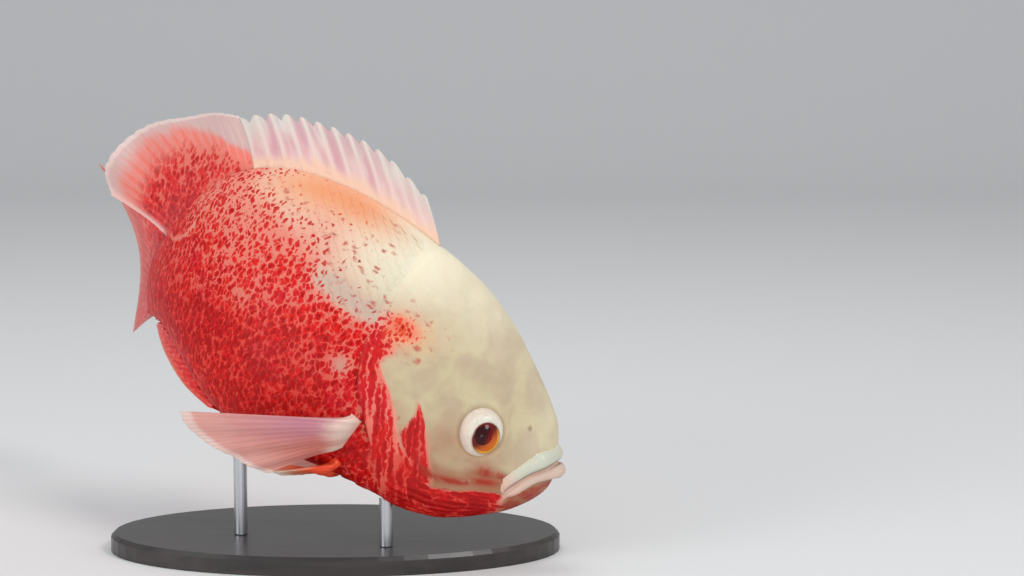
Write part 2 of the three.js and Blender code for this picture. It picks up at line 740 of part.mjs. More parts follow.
addMesh(stand, 'stand_base', standBase(), COLOURS.stand, 0.35);
addMesh(stand, 'stand_rod_front', standRod(ROD_STATIONS.front), COLOURS.steel, 0.3);
addMesh(stand, 'stand_rod_rear', standRod(ROD_STATIONS.rear), COLOURS.steel, 0.3);

export default part;
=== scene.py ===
# %% [markdown]
# # An adult albino oscar, mounted for a museum
# The real animal is a deep, heavy cichlid about 27 cm long. Its skin has no dark pigment, so the
# head is ivory and the flanks are covered in a red labyrinth. The solids already give the pose and
# the proportions. This script dresses them: one skin without seams, a coat of scales, fins with
# fine rays, wet eyes and a stand. Every piece follows the same curves as the solids, so both agree.

# %% Load the frame
import math

import bpy
import numpy as np
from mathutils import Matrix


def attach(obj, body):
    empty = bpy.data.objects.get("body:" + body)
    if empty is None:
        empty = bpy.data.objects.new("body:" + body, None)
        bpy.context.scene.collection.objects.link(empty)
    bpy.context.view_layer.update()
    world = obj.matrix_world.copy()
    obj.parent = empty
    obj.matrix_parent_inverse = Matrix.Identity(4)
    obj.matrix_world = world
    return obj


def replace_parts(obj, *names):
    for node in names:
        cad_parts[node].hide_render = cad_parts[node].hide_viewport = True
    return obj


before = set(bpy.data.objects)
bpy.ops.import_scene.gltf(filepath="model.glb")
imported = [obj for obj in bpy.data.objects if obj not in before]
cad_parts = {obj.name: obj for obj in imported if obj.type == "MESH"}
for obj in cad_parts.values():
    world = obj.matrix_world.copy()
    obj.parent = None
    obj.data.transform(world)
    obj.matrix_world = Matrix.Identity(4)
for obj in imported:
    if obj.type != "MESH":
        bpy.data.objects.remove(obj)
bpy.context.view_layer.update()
print("solids loaded:", len(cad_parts), "nodes")

# %% [markdown]
# ## The measures of the fish
# A *station* is a place along the body, counted backwards from the mouth in parts of the standard
# length. Heights over the body axis and half widths use the same unit. A *turn* is the angle round
# a cross section, from 0 on the back to 180 degrees on the belly. A list of a few places and a
# smooth curve through them give each outline. We could trace a mesh instead, but a curve can be
# asked for any place, at any fineness, so skin, scales and fins all grow from the same one.

# %% Sizes and outlines
STANDARD_LENGTH = 0.210
NOSE_DOWN = math.radians(23.5)
HEAD_TOWARDS_VIEWER = math.radians(6)
LEAN = math.radians(-12.5)
BEND = math.radians(73)
BEND_START = 0.25
BEND_POWER = 1.29
TWIST = math.radians(-16)
FISH_POSITION = np.array([0.085, -0.025, 0.0395])
MM = 0.001

SNOUT = 0.002
BACK = [
    (SNOUT, -0.022), (0.009, -0.004), (0.0195, 0.0205), (0.034, 0.05), (0.06, 0.079),
    (0.11, 0.124), (0.175, 0.176), (0.24, 0.213), (0.3, 0.235), (0.346, 0.248), (0.45, 0.272),
    (0.55, 0.281), (0.65, 0.272), (0.75, 0.232), (0.85, 0.15), (0.93, 0.086), (1, 0.074),
]
BELLY = [
    (SNOUT, -0.022), (0.003, -0.05), (0.012, -0.076), (0.031, -0.102), (0.054, -0.125),
    (0.105, -0.158), (0.16, -0.184), (0.223, -0.195), (0.272, -0.193), (0.33, -0.189),
    (0.45, -0.191), (0.57, -0.183), (0.66, -0.156), (0.75, -0.118), (0.85, -0.084),
    (0.93, -0.076), (1, -0.075),
]
HALF_WIDTH = [
    (SNOUT, 0), (0.01, 0.023), (0.03, 0.041), (0.06, 0.055), (0.1, 0.066), (0.146, 0.075),
    (0.2, 0.085), (0.26, 0.094), (0.33, 0.1), (0.42, 0.101), (0.52, 0.094), (0.62, 0.08),
    (0.72, 0.062), (0.82, 0.043), (0.9, 0.03), (1, 0.018),
]
WIDEST_LEVEL = [
    (SNOUT, -0.022), (0.05, -0.035), (0.15, -0.035), (0.33, -0.005), (0.6, 0.02), (1, 0),
]
BACK_ROUNDNESS = 1.12
BELLY_ROUNDNESS = 0.92
GILL_EDGE = [
    (0, 0.335), (40, 0.352), (69, 0.374), (88, 0.369), (100, 0.357), (113, 0.331),
    (124, 0.308), (140, 0.28), (180, 0.25),
]
GILL_FRONT = [(50, 0.3), (75, 0.285), (95, 0.255), (120, 0.222), (140, 0.195), (162, 0.17)]
GAPE = [
    (0, -0.008), (0.0214, -0.034), (0.04, -0.0535), (0.054, -0.073), (0.0655, -0.092),
    (0.07, -0.103),
]


# %% Curves through a few places
def curve_through(points, stretch=lambda value: value):
    xs = stretch(np.array([x for x, _ in points], float))
    ys = np.array([y for _, y in points], float)
    last = len(xs) - 1
    before = np.maximum(np.arange(last + 1) - 1, 0)
    after = np.minimum(np.arange(last + 1) + 1, last)
    slopes = (ys[after] - ys[before]) / (xs[after] - xs[before])

    def curve(value):
        x = np.clip(stretch(np.asarray(value, float)), xs[0], xs[-1])
        i = np.clip(np.searchsorted(xs, x) - 1, 0, last - 1)
        step = xs[i + 1] - xs[i]
        t = (x - xs[i]) / step
        rise = ys[i + 1] - ys[i]
        left = slopes[i] * step - rise
        right = rise - slopes[i + 1] * step
        return ys[i] + rise * t + t * (1 - t) * ((1 - t) * left + t * right)

    return curve


def from_snout(station):
    return np.sqrt(np.maximum(station - SNOUT, 0))


def ease(value, low, high):
    t = np.clip((np.asarray(value, float) - low) / (high - low), 0, 1)
    return t * t * (3 - 2 * t)


def mix(a, b, share):
    return a + (b - a) * share


def hill(distance, width):
    return np.exp(-((distance / width) ** 2))


back = curve_through(BACK, from_snout)
belly = curve_through(BELLY, from_snout)
half_width = curve_through(HALF_WIDTH, from_snout)
widest_level = curve_through(WIDEST_LEVEL, from_snout)
gill_edge = curve_through(GILL_EDGE)
gill_front = curve_through(GILL_FRONT)
gape_height = curve_through(GAPE)
SHOULDER = 0.346
depth = float(back(SHOULDER) - belly(SHOULDER)) * STANDARD_LENGTH
print("depth at the shoulder, mm:", round(depth / MM, 1))

# %% [markdown]
# ## The bent axis
# The real fish beats its tail as it turns, so the body axis curves to its left behind the head and
# the rear of the body rolls a little. The axis is the sum of many short steps along a heading that
# grows with the station. Blender could bend a straight mesh with a Curve modifier. Adding up the
# steps ourselves keeps the place of each scale and ray exact, which the fins need.


# %% The axis
def heading(station):
    return BEND * (np.maximum(station - BEND_START, 0) / (1 - BEND_START)) ** BEND_POWER


AXIS_STATIONS = np.linspace(-0.05, 1.05, 4401)
AXIS_STEP = AXIS_STATIONS[1] - AXIS_STATIONS[0]
step_headings = heading((AXIS_STATIONS[1:] + AXIS_STATIONS[:-1]) / 2)
AXIS_BACK = AXIS_STATIONS[0] + np.append(0, np.cumsum(np.cos(step_headings) * AXIS_STEP))
AXIS_SIDE = np.append(0, np.cumsum(np.sin(step_headings) * AXIS_STEP))
print("the axis turns by", round(math.degrees(float(heading(1.0)))), "degrees")


def directions_at(station, angle=None):
    """Backwards along the axis, to the fish's left and towards its back."""
    station = np.asarray(station, float)
    angle = heading(station) if angle is None else angle
    twist = TWIST * ease(station, 0.35, 0.95)
    c, s = np.cos(angle), np.sin(angle)
    none, one = np.zeros_like(c), np.ones_like(c)
    level = np.stack([s, c, none], -1)
    upright = np.stack([none, none, one], -1)
    rear = np.stack([-c, s, none], -1)
    ct, st = np.cos(twist)[..., None], np.sin(twist)[..., None]
    return rear, level * ct - upright * st, upright * ct + level * st


def place(station, side, height):
    """A point of the bent fish, in metres, before the fish is set down."""
    station, side, height = np.broadcast_arrays(
        *(np.asarray(v, float) for v in (station, side, height))
    )
    _, left, up = directions_at(station)
    backwards = np.interp(station, AXIS_STATIONS, AXIS_BACK)
    sideways = np.interp(station, AXIS_STATIONS, AXIS_SIDE)
    axis = np.stack([-backwards, sideways, np.zeros_like(station)], -1)
    return STANDARD_LENGTH * (axis + left * side[..., None] + up * height[..., None])


def turning(x, y, z):
    cx, sx, cy, sy, cz, sz = (f(a) for a in (x, y, z) for f in (math.cos, math.sin))
    about_x = np.array([[1, 0, 0], [0, cx, -sx], [0, sx, cx]])
    about_y = np.array([[cy, 0, sy], [0, 1, 0], [-sy, 0, cy]])
    about_z = np.array([[cz, -sz, 0], [sz, cz, 0], [0, 0, 1]])
    return about_z @ about_y @ about_x


FISH_TURN = turning(LEAN, NOSE_DOWN, -HEAD_TOWARDS_VIEWER)


def in_room(points):
    return points @ FISH_TURN.T + FISH_POSITION


def unit(vectors):
    return vectors / (np.linalg.norm(vectors, axis=-1, keepdims=True) + 1e-12)


# %% The skin's surface round the axis
def cross_section(station, turn):
    """Offset to the left and height of the skin. Turns over 180 degrees lie on the left."""
    level = widest_level(station)
    on_back = np.cos(turn) > 0
    reach = np.where(on_back, back(station) - level, level - belly(station))
    power = np.where(on_back, BACK_ROUNDNESS, BELLY_ROUNDNESS)
    sine = np.sin(turn)
    side = half_width(station) * np.sign(sine) * np.abs(sine) ** power
    return -side, level + reach * np.cos(turn)


def skin_point(station, turn):
    return place(station, *cross_section(station, turn))


def skin_normal(station, turn):
    small = 0.003
    along = skin_point(station + small, turn) - skin_point(station - small, turn)
    around = skin_point(station, turn + small) - skin_point(station, turn - small)
    return unit(np.cross(along, around))


def turn_at(station, height):
    level = widest_level(station)
    reach = np.where(height > level, back(station) - level, level - belly(station))
    return np.arccos(np.clip((height - level) / np.maximum(reach, 1e-6), -1, 1))


print("tail end of the axis, mm:", np.round(in_room(place(1.0, 0, 0)) / MM, 1))

# %% [markdown]
# ## Meshes
# A mesh here is a grid of points with faces between them. Vector attributes go along with every
# point. *fish* is where the point would lie on the straight fish, and *ground* and *reds* say how
# much of each colour that place carries. On the skin, *flow* and *mouth* add the direction of the
# marks, the painted shade in the creases, the lips, the rust marks, the painted shade in the gape
# and the painted shadow under the chin. The materials read them, so the red labyrinth runs on from
# the skin, over the scales and onto the fins, however the body bends. A texture map would need
# unwraps of all these pieces that meet, and its seams would show.


# %% Making a mesh
def vectors_of(mesh, name):
    values = np.zeros(len(mesh.vertices) * 3, np.float32)
    mesh.attributes[name].data.foreach_get("vector", values)
    return values.reshape(-1, 3).astype(float)


def set_vectors(mesh, name, values):
    layer = mesh.attributes.get(name) or mesh.attributes.new(name, "FLOAT_VECTOR", "POINT")
    layer.data.foreach_set("vector", np.asarray(values, np.float32).reshape(-1))


def make_mesh(name, points, faces, material, attributes=None):
    mesh = bpy.data.meshes.new(name)
    mesh.from_pydata(points.reshape(-1, 3).tolist(), [], faces)
    for key, values in (attributes or {}).items():
        set_vectors(mesh, key, values)
    mesh.materials.append(material)
    mesh.shade_smooth()
    mesh.update()
    thing = bpy.data.objects.new(name, mesh)
    bpy.context.scene.collection.objects.link(thing)
    return thing


# %% Faces of a sheet, a closed tube and a thick sheet
def grid_faces(rows, columns, wrap=False):
    i = np.arange(rows - 1)[:, None]
    j = np.arange(columns if wrap else columns - 1)[None, :]
    a = i * columns + j
    b = i * columns + (j + 1) % columns
    return np.stack([a, b, b + columns, a + columns], -1).reshape(-1, 4).tolist()


def tube_faces(rows, columns):
    """A tube of rings, closed by two points that are listed after the rings."""
    faces = grid_faces(rows, columns, wrap=True)
    first, last = rows * columns, rows * columns + 1
    for j in range(columns):
        k = (j + 1) % columns
        faces += [[first, k, j], [last, first - columns + j, first - columns + k]]
    return faces


def with_ends(values):
    """The values of all the rings, then one for each of the two points that close the tube."""
    return np.concatenate([values.reshape(-1, 3), values[0, :1], values[-1, :1]])


def thick_faces(rows, columns):
    """A sheet, a second one listed after it, the strip that joins them, and the rim's edges."""
    faces, size = grid_faces(rows, columns), rows * columns
    rim = list(range(columns)) + [i * columns + columns - 1 for i in range(1, rows)]
    rim += [(rows - 1) * columns + j for j in range(columns - 2, -1, -1)]
    rim += [i * columns for i in range(rows - 2, 0, -1)]
    edges = list(zip(rim, rim[1:] + rim[:1]))
    faces += [[v + size for v in f[::-1]] for f in faces]
    return faces + [[a, a + size, b + size, b] for a, b in edges], edges


def face_outwards(points, faces):
    """Turns the faces of a closed mesh outwards, by the sign of its volume."""
    volume = 0.0
    for size in {len(f) for f in faces}:
        f = np.array([f for f in faces if len(f) == size])
        p = points.reshape(-1, 3)[f]
        for k in range(1, size - 1):
            volume += np.einsum("ij,ij->", p[:, 0], np.cross(p[:, k], p[:, k + 1]))
    return faces if volume > 0 else [f[::-1] for f in faces]


# %% [markdown]
# ## Where each colour lies
# On the real fish the forehead is ivory and the cheek is tan. The red starts behind a slanting
# line from the nape to the throat. It is sparse above and closes into solid red below and towards
# the tail. A peach band follows the back, and pale patches lie behind the gill cover. A red wedge
# between pale lines marks the cover, and the throat is red. Each of these is a soft shape in
# station and height, the same on both flanks.

# %% Edges and patches of the colours
RED_EDGE = curve_through([
    (-0.2, 0.12), (-0.16, 0.15), (-0.14, 0.185), (-0.12, 0.205), (-0.1, 0.238), (-0.08, 0.262),
    (-0.05, 0.281), (-0.02, 0.303), (0.0, 0.322), (0.02, 0.33), (0.045, 0.3), (0.07, 0.288),
    (0.09, 0.31), (0.11, 0.35), (0.14, 0.37), (0.19, 0.38), (0.25, 0.4), (0.3, 0.41),
])
RED_RUN = curve_through([
    (-0.2, 0.012), (0, 0.012), (0.03, 0.024), (0.06, 0.07), (0.1, 0.1), (0.14, 0.2), (0.3, 0.3),
])
CLUSTER = (0.338, 0.084)
TAIL_FOLD = (0.838, 0.127)
THROAT_TOP = curve_through([
    (0.0, -0.045), (0.03, -0.072), (0.05, -0.094), (0.085, -0.105), (0.12, -0.116),
    (0.142, -0.127), (0.17, -0.135), (0.194, -0.138), (0.25, -0.11),
])
PALE_PATCHES = [
    (0.47, 0.113, 0.03, 0.02, 0.9), (0.427, 0.097, 0.034, 0.022, 1.0),
    (0.387, 0.085, 0.026, 0.018, 0.9), (0.396, -0.014, 0.022, 0.022, 0.75),
    (0.45, -0.03, 0.03, 0.02, 0.3), (0.6, 0.03, 0.035, 0.025, 0.3),
]
WEDGE_FRONT = curve_through([
    (-0.15, 0.182), (-0.114, 0.2), (-0.085, 0.217), (-0.052, 0.235), (-0.035, 0.246),
    (-0.018, 0.2605),
])
WEDGE_REAR = curve_through([
    (-0.15, 0.25), (-0.12, 0.248), (-0.1, 0.256), (-0.075, 0.267), (-0.06, 0.262), (-0.04, 0.2585),
    (-0.018, 0.2625),
])
PALE_LINE = curve_through([
    (-0.12, 0.228), (-0.114, 0.236), (-0.101, 0.254), (-0.074, 0.275), (-0.04, 0.294),
    (-0.01, 0.312),
])


# %% Amounts of each colour
def plateau(value, rise, full, fall, none):
    """Rises from 0 to 1 between the first two places, and falls back between the last two."""
    return ease(value, rise, full) * (1 - ease(value, fall, none))


def cover_marks(s, h):
    """The red wedge on the gill cover, the pale lines beside it, and the red of the throat."""
    front = WEDGE_FRONT(h)
    wedge = ease(s - front, -0.003, 0.003) * ease(WEDGE_REAR(h) - s, -0.004, 0.003)
    wedge = wedge * plateau(-h, 0.013, 0.024, 0.13, 0.15)
    rib = hill(s - front + 0.002, 0.0035) * plateau(-h, 0.045, 0.065, 0.13, 0.145)
    line = hill(s - PALE_LINE(h), 0.003) * plateau(-h, 0.02, 0.05, 0.105, 0.12)
    throat = ease(THROAT_TOP(s) - h, -0.002, 0.005) * (0.4 + 0.6 * ease(s, 0.055, 0.08))
    return wedge, np.maximum(rib, 0.8 * line), throat * plateau(s, 0.0, 0.02, 0.24, 0.3)


def markings(station, height):
    """Two triples for each place: tan, salmon, peach, and red, solid red, paleness."""
    s, h = np.broadcast_arrays(np.asarray(station, float), np.asarray(height, float))
    low, rear = ease(h, 0.1, -0.04), ease(s, 0.62, 0.84)
    cover = ease(h, 0.05, 0.02) * (1 - ease(s, 0.33, 0.38))
    open_back = ease(h, 0.08, 0.2) * ease(s, 0.48, 0.6) * (1 - 0.6 * ease(s, 0.78, 0.9))
    full = 0.73 + 0.12 * low + 0.1 * rear * (1 - low)
    full = full * (1 - 0.12 * cover) * (1 - 0.24 * open_back)
    band = hill(back(s) - h - 0.024, 0.036) * plateau(s, 0.35, 0.5, 0.56, 0.72)
    pale = sum(p * hill(s - x, a) * hill(h - y, b) for x, y, a, b, p in PALE_PATCHES)
    pale = np.clip(pale, 0, 1)
    cluster = hill(np.hypot((s - CLUSTER[0]) / 0.048, (h - CLUSTER[1]) / 0.03), 1)
    peach = np.maximum(band, 0.75 * cluster * ease(s, 0.38, 0.34))
    wedge, rib, throat = cover_marks(s, h)
    fold = hill(np.hypot((s - TAIL_FOLD[0]) / 0.066, (h - TAIL_FOLD[1]) / 0.045) - 0.93, 0.09)
    fold = fold * (1 - ease(s, 0.86, 0.9)) * (1 - ease(h, 0.12, 0.15))
    rib = np.maximum(rib, 0.5 * fold)
    underneath = 0.92 * ease(-h, 0.08, 0.125) * ease(s, 0.24, 0.3)

    grown = np.clip((s - RED_EDGE(h)) / RED_RUN(h), 0, 1)
    red = mix(grown, ease(grown, 0, 1), 0.35) * full * (1 - 0.72 * band) * (1 - 0.62 * pale)
    red = np.maximum.reduce([red, 0.78 * cluster, 0.8 * wedge, 0.82 * throat, underneath])
    red = red * (1 - 0.85 * rib)
    solid = np.maximum(0.8 * low * ease(s, 0.3, 0.45), 0.45 * rear * ease(h, 0.16, 0.04))
    solid = np.maximum(solid, 0.6 * underneath) * (1 - 0.6 * pale)
    solid = np.maximum.reduce([solid, 0.8 * throat * ease(s, 0.06, 0.1), 0.5 * wedge])

    tan_top = mix(0.24, 0.34, ease(s, 0.36, 0.26))
    rusty = ease(THROAT_TOP(s) - h, -0.05, -0.004) * (1 - 0.3 * ease(s, 0.05, 0.0))
    tan = 0.62 * ease(h, tan_top, 0.0) * (1 - 0.45 * ease(s, 0.12, 0.04))
    tan = tan + 0.2 * ease(h, 0.02, -0.06) + 0.5 * rusty
    salmon = ease(s - RED_EDGE(h), 0.0, mix(0.08, 0.17, ease(h, 0.08, 0.16)))
    salmon = salmon * (1 - 0.7 * pale) * (1 - 0.35 * open_back)
    salmon = np.maximum.reduce([salmon, 0.5 * cluster**2, ease(red, 0.3, 0.6), rib])
    first = np.stack([np.clip(tan, 0, 1), salmon, peach], -1)
    return first, np.stack([np.clip(red, 0, 1), np.clip(solid, 0, 1), pale], -1)


def flow(station, height):
    """How far the pattern turns into upright streaks, and into lengthwise dashes."""
    streaks = ease(height, 0.045, 0.02) * plateau(station, 0.17, 0.2, 0.36, 0.4)
    dashes = ease(THROAT_TOP(station) - height, -0.01, 0.0) * (1 - ease(station, 0.19, 0.23))
    return streaks, dashes


print("red on the middle of the flank:", np.round(markings(0.6, 0.0)[1][0], 2))

# %% [markdown]
# ## Finishes for living tissue
# Fish skin is wet and slightly see-through: light sinks in, turns red and comes out again, under a
# glossy film of slime. Subsurface and a thin coat on the Principled shader give both. The red
# labyrinth is a net of uneven cells, roughened by noise and cut at a threshold. The amount of red
# moves the threshold, so that sparse specks grow into a net and then into solid red. A painted
# image would need a map of its own. A cut net needs none, and never repeats.


# %% Small helpers for shader nodes
class Amount:
    """A number that comes out of a node. Adding or multiplying it adds the nodes for that."""

    def __init__(self, finish, socket):
        self.finish, self.socket = finish, socket

    def __add__(self, other):
        return self.finish.sum("ADD", self, other)

    def __sub__(self, other):
        return self.finish.sum("SUBTRACT", self, other)

    def __rsub__(self, other):
        return self.finish.sum("SUBTRACT", other, self)

    def __mul__(self, other):
        return self.finish.sum("MULTIPLY", self, other)


class Nodes:
    """A node tree under construction."""

    def __init__(self, tree):
        self.tree = tree

    def node(self, kind, inputs=None, **settings):
        made = self.tree.nodes.new(kind)
        count = len(self.tree.nodes)
        made.location = (-200 * (count % 12) - 300, -220 * (count // 12))
        for key, value in settings.items():
            setattr(made, key, value)
        for key, value in (inputs or {}).items():
            self.put(value, made.inputs[key])
        return made

    def put(self, value, socket):
        value = value.socket if isinstance(value, Amount) else value
        if isinstance(value, bpy.types.NodeSocket):
            self.tree.links.new(value, socket)
        else:
            socket.default_value = value


class Finish(Nodes):
    """A material under construction. Its methods add nodes and give what comes out of them."""

    def __init__(self, name):
        self.material = bpy.data.materials.new(name)
        self.material.use_nodes = True
        super().__init__(self.material.node_tree)
        self.shader = self.tree.nodes["Principled BSDF"]

    def read(self, attribute):
        return self.node("ShaderNodeAttribute", attribute_name=attribute).outputs["Vector"]

    def parts(self, attribute):
        split = self.node("ShaderNodeSeparateXYZ", {"Vector": self.read(attribute)})
        return [Amount(self, split.outputs[axis]) for axis in "XYZ"]

    def sum(self, operation, a, b=0.0, clamp=False):
        made = self.node("ShaderNodeMath", {0: a, 1: b}, operation=operation, use_clamp=clamp)
        return Amount(self, made.outputs[0])

    def step(self, value, low, high):
        """0 at low, 1 at high and smooth between them. Low may be the greater of the two."""
        inputs = {"Value": value, "From Min": low, "From Max": high}
        made = self.node("ShaderNodeMapRange", inputs, interpolation_type="SMOOTHSTEP", clamp=True)
        return Amount(self, made.outputs["Result"])

    def blend(self, share, a, b):
        inputs = {0: share, 6: a, 7: b}
        return self.node("ShaderNodeMix", inputs, data_type="RGBA", clamp_factor=True).outputs[2]

    def over(self, base, *layers):
        """Lays colours over a first one, each with its own share."""
        for share, tone in layers:
            base = self.blend(share, base, tone)
        return base

    def stretched(self, vector, scale):
        return self.node("ShaderNodeMapping", {"Vector": vector, "Scale": scale}).outputs["Vector"]

    def noise(self, vector, scale, detail=2.0, rough=0.5, distortion=0.0):
        names = "Vector", "Scale", "Detail", "Roughness", "Distortion"
        inputs = dict(zip(names, (vector, scale, detail, rough, distortion)))
        return Amount(self, self.node("ShaderNodeTexNoise", inputs).outputs["Fac"])

    def sway(self, most, *noise):
        """Noise that goes as far below nothing as above it."""
        return (self.noise(*noise) - 0.5) * most

    def cells(self, vector, scale, kind="F1"):
        """The distance from a cell's middle, or from its border."""
        inputs = {"Vector": vector, "Scale": scale}
        made = self.node("ShaderNodeTexVoronoi", inputs, feature=kind)
        return Amount(self, made.outputs["Distance"])

    def net(self, vector, scale, stretch):
        """Cells with a border all round: about 0 in their middle, about 0.6 between them."""
        vector = self.stretched(vector, stretch)
        middle, border = (self.cells(vector, scale, kind) for kind in ("F1", "DISTANCE_TO_EDGE"))
        return middle * 0.45 - border * 0.75 + 0.33

    def bumps(self, height, strength, distance, before=None):
        inputs = {"Height": height, "Strength": strength, "Distance": distance}
        if before is not None:
            inputs["Normal"] = before
        return self.node("ShaderNodeBump", inputs).outputs["Normal"]

    def set(self, **values):
        for key, value in values.items():
            self.put(value, self.shader.inputs[key.replace("_", " ")])
        return self.material


def colour(red, green, blue):
    """A colour given as it looks on a screen, 0 to 255, turned into light."""
    parts = (value / 255 for value in (red, green, blue))
    return (*(p / 12.92 if p <= 0.04045 else ((p + 0.055) / 1.055) ** 2.4 for p in parts), 1.0)


# %% The colours of skin and scales
IVORY = colour(240, 229, 200)
TAN = colour(194, 174, 144)
OLIVE = colour(206, 192, 154)
BROWN = colour(166, 110, 80)
SALMON = colour(236, 148, 128)
ROSE = colour(230, 112, 96)
STROKE = colour(218, 56, 46)
PEACH = colour(240, 156, 110)
PALE = colour(206, 176, 160)
SPECK = colour(190, 74, 68)
CRIMSON = colour(206, 12, 36)
ORANGE_RED = colour(226, 76, 40)
RED = colour(226, 24, 22)
SKIN_RED = colour(210, 18, 17)
DEEP_RED = colour(168, 5, 5)
LIP = colour(206, 209, 190)
LIP_PINK = colour(224, 180, 164)
# Rust marks. The same colour is the painted shadow under the chin.
RUST_AND_CHIN_SHADE = colour(168, 48, 32)
# Painted shade: a darker brown for the creases of the skin, the groove round the eye and the nostrils.
PAINTED_CREASE_SHADE = colour(150, 62, 46)
# Painted shade in the gape between the lips.
PAINTED_GAPE_SHADE = colour(88, 44, 36)

# %% The red labyrinth
WOBBLE = 0.0036
CELLS_PER_METRE = 500
STREAK_SLANT = math.radians(-19)


def labyrinth(finish, lined=False):
    """The colour of a place, how much of it is a red mark, and the place on the fish."""
    blend, step, noise, net = finish.blend, finish.step, finish.noise, finish.net
    where = finish.read("fish")
    tan, salmon, peach = finish.parts("ground")
    red, solid, pale = finish.parts("reds")
    clouds = noise(where, 60, 3)
    tan = finish.sum("ADD", tan, (clouds - 0.5) * 0.3, clamp=True)
    cheek = blend(step(noise(where, 75, 2, 0.6, 0.5), 0.38, 0.66), TAN, OLIVE)
    base = finish.over(
        blend(step(tan, 0.0, 0.6), IVORY, cheek), (step(tan, 0.6, 1.1), BROWN),
        (salmon * (red * 0.9 + 0.5), SALMON), (peach, PEACH), (pale * 0.85, PALE),
        (step(red, 0.4, 0.9), ROSE), (solid * 1.05, STROKE),
    )
    wobble = finish.node("ShaderNodeTexNoise", {"Vector": where, "Scale": 320, "Detail": 2.5})
    bend = {0: wobble.outputs["Color"], 1: (WOBBLE,) * 3, 2: where}
    bent = finish.node("ShaderNodeVectorMath", bend, operation="MULTIPLY_ADD").outputs["Vector"]
    cells = net(bent, CELLS_PER_METRE, (1.1, 0.9, 0.62))
    uneven = finish.sway(0.44, where, 90, 3)
    if lined:
        streaks, dashes, _ = finish.parts("flow")
        slant = {"Vector": bent, "Rotation": (0, STREAK_SLANT, 0)}
        slanted = finish.node("ShaderNodeMapping", slant).outputs["Vector"]
        cells = mix(cells, net(bent, 450, (1.7, 0.9, 0.85)), step(peach, 0.05, 0.4))
        cells = mix(cells, net(slanted, 400, (1.2, 0.2, 0.1)), streaks)
        cells = mix(cells, net(bent, 400, (0.2, 0.6, 1.0)), dashes)
        uneven = uneven * (streaks * -0.7 + 1.0)
    cells = cells + finish.sway(0.4, where, 620, 2, 0.6)
    ink = (red + uneven) * 0.71 - cells
    inked = step(ink, -0.09, 0.07) * step(red, 0.02, 0.14)
    mark = finish.over(
        blend(step(red, 0.2, 0.8), SPECK, SKIN_RED if lined else RED),
        (step(clouds, 0.48, 0.62) * 0.55, CRIMSON), (step(peach, 0.1, 0.6), ORANGE_RED),
    )
    dots = step(finish.cells(finish.stretched(bent, (0.7, 1, 1)), 360), 0.46, 0.1)
    few = step(red, 0.01, 0.05) * step(red, 0.55, 0.3) * step(peach, 0.75, 0.45)
    few = few * step(noise(where, 240, 1), 0.42, 0.54)
    depth = solid * 0.22 + (ink - 0.12) + finish.sway(0.5, where, 190, 2)
    dark = step(depth, 0.0, 0.32) * inked
    made = finish.over(base, (dots * few * 0.8, SPECK), (inked, mark), (dark * 0.9, DEEP_RED))
    return made, inked, where


# %% The finish of the skin
def skin_finish():
    finish = Finish("fish_skin")
    noise, bumps = finish.noise, finish.bumps
    made, _, where = labyrinth(finish, lined=True)
    lip, gape_shade, rust_and_shade = finish.parts("mouth")
    crease_shade, pink = finish.parts("flow")[2], finish.parts("ground")[1]
    lip_tone = finish.blend(pink + finish.sway(0.3, where, 150, 2), LIP, LIP_PINK)
    # Over the labyrinth: rust marks and the painted shadow under the chin, the lips, painted shade in the
    # creases and painted shade in the gape.
    made = finish.over(
        made, (rust_and_shade * finish.step(noise(where, 190, 3), 0.24, 0.5), RUST_AND_CHIN_SHADE), (lip, lip_tone),
        (crease_shade * 0.5, PAINTED_CREASE_SHADE), (gape_shade, PAINTED_GAPE_SHADE),
    )
    pores = bumps(noise(where, 1500, 3, 0.6), 0.35, 0.0004)
    return finish.set(
        Base_Color=made, Roughness=noise(where, 420, 3) * 0.26 + 0.36, Specular_IOR_Level=0.2,
        Normal=bumps(noise(where, 260, 3), 0.3, 0.0012, pores),
        Coat_Weight=0.08, Coat_Roughness=0.22,
        Subsurface_Weight=0.12, Subsurface_Radius=(1.0, 0.35, 0.2), Subsurface_Scale=0.0025,
    )


SKIN_FINISH = skin_finish()
print("finish ready:", SKIN_FINISH.name)

# %% [markdown]
# ## The skin
# One closed sheet is wrapped round the whole body, from the snout to the root of the tail fin. Its
# rings lean so that one of them runs exactly along the free edge of the gill cover. That edge can
# then be a clean step, which a sculpted dense mesh would need many more points for. The relief
# lifts the gill cover, rims the eyes, sinks the nostrils and folds the throat.

# %% Places on the flank, each a station and a height
EYE = (0.146, -0.02)
CORNEA = (0.137, -0.026)
NOSTRIL = (0.072, 0.02)
MOUTH_FOLD = (0.088, -0.082)
CHEEK = (0.19, -0.07)
NEAR = 14
RIGHT, LEFT = 1, -1
TURNS = 352
HEAD_ROWS = 122
BODY_ROWS = 84
COAT_DEPTH = 0.35


def seat(station, height, side):
    """A point on the flank, its outward normal, and the directions forwards and upwards there."""
    turn = side * turn_at(station, height)
    point = in_room(skin_point(station, turn))
    normal = unit(skin_normal(station, turn) @ FISH_TURN.T)
    rear, _, up = (d @ FISH_TURN.T for d in directions_at(station))
    forward = unit(-rear + normal * (rear @ normal))
    return point, normal, forward, unit(up - normal * (up @ normal) - forward * (up @ forward))


def around(points, spot, side):
    """Places of points around a seat, forwards and upwards, in millimetres, and which are near."""
    point, normal, forward, upward = seat(*spot, side)
    d = (points - point) / MM
    return d @ forward, d @ upward, np.abs(d @ normal) < NEAR


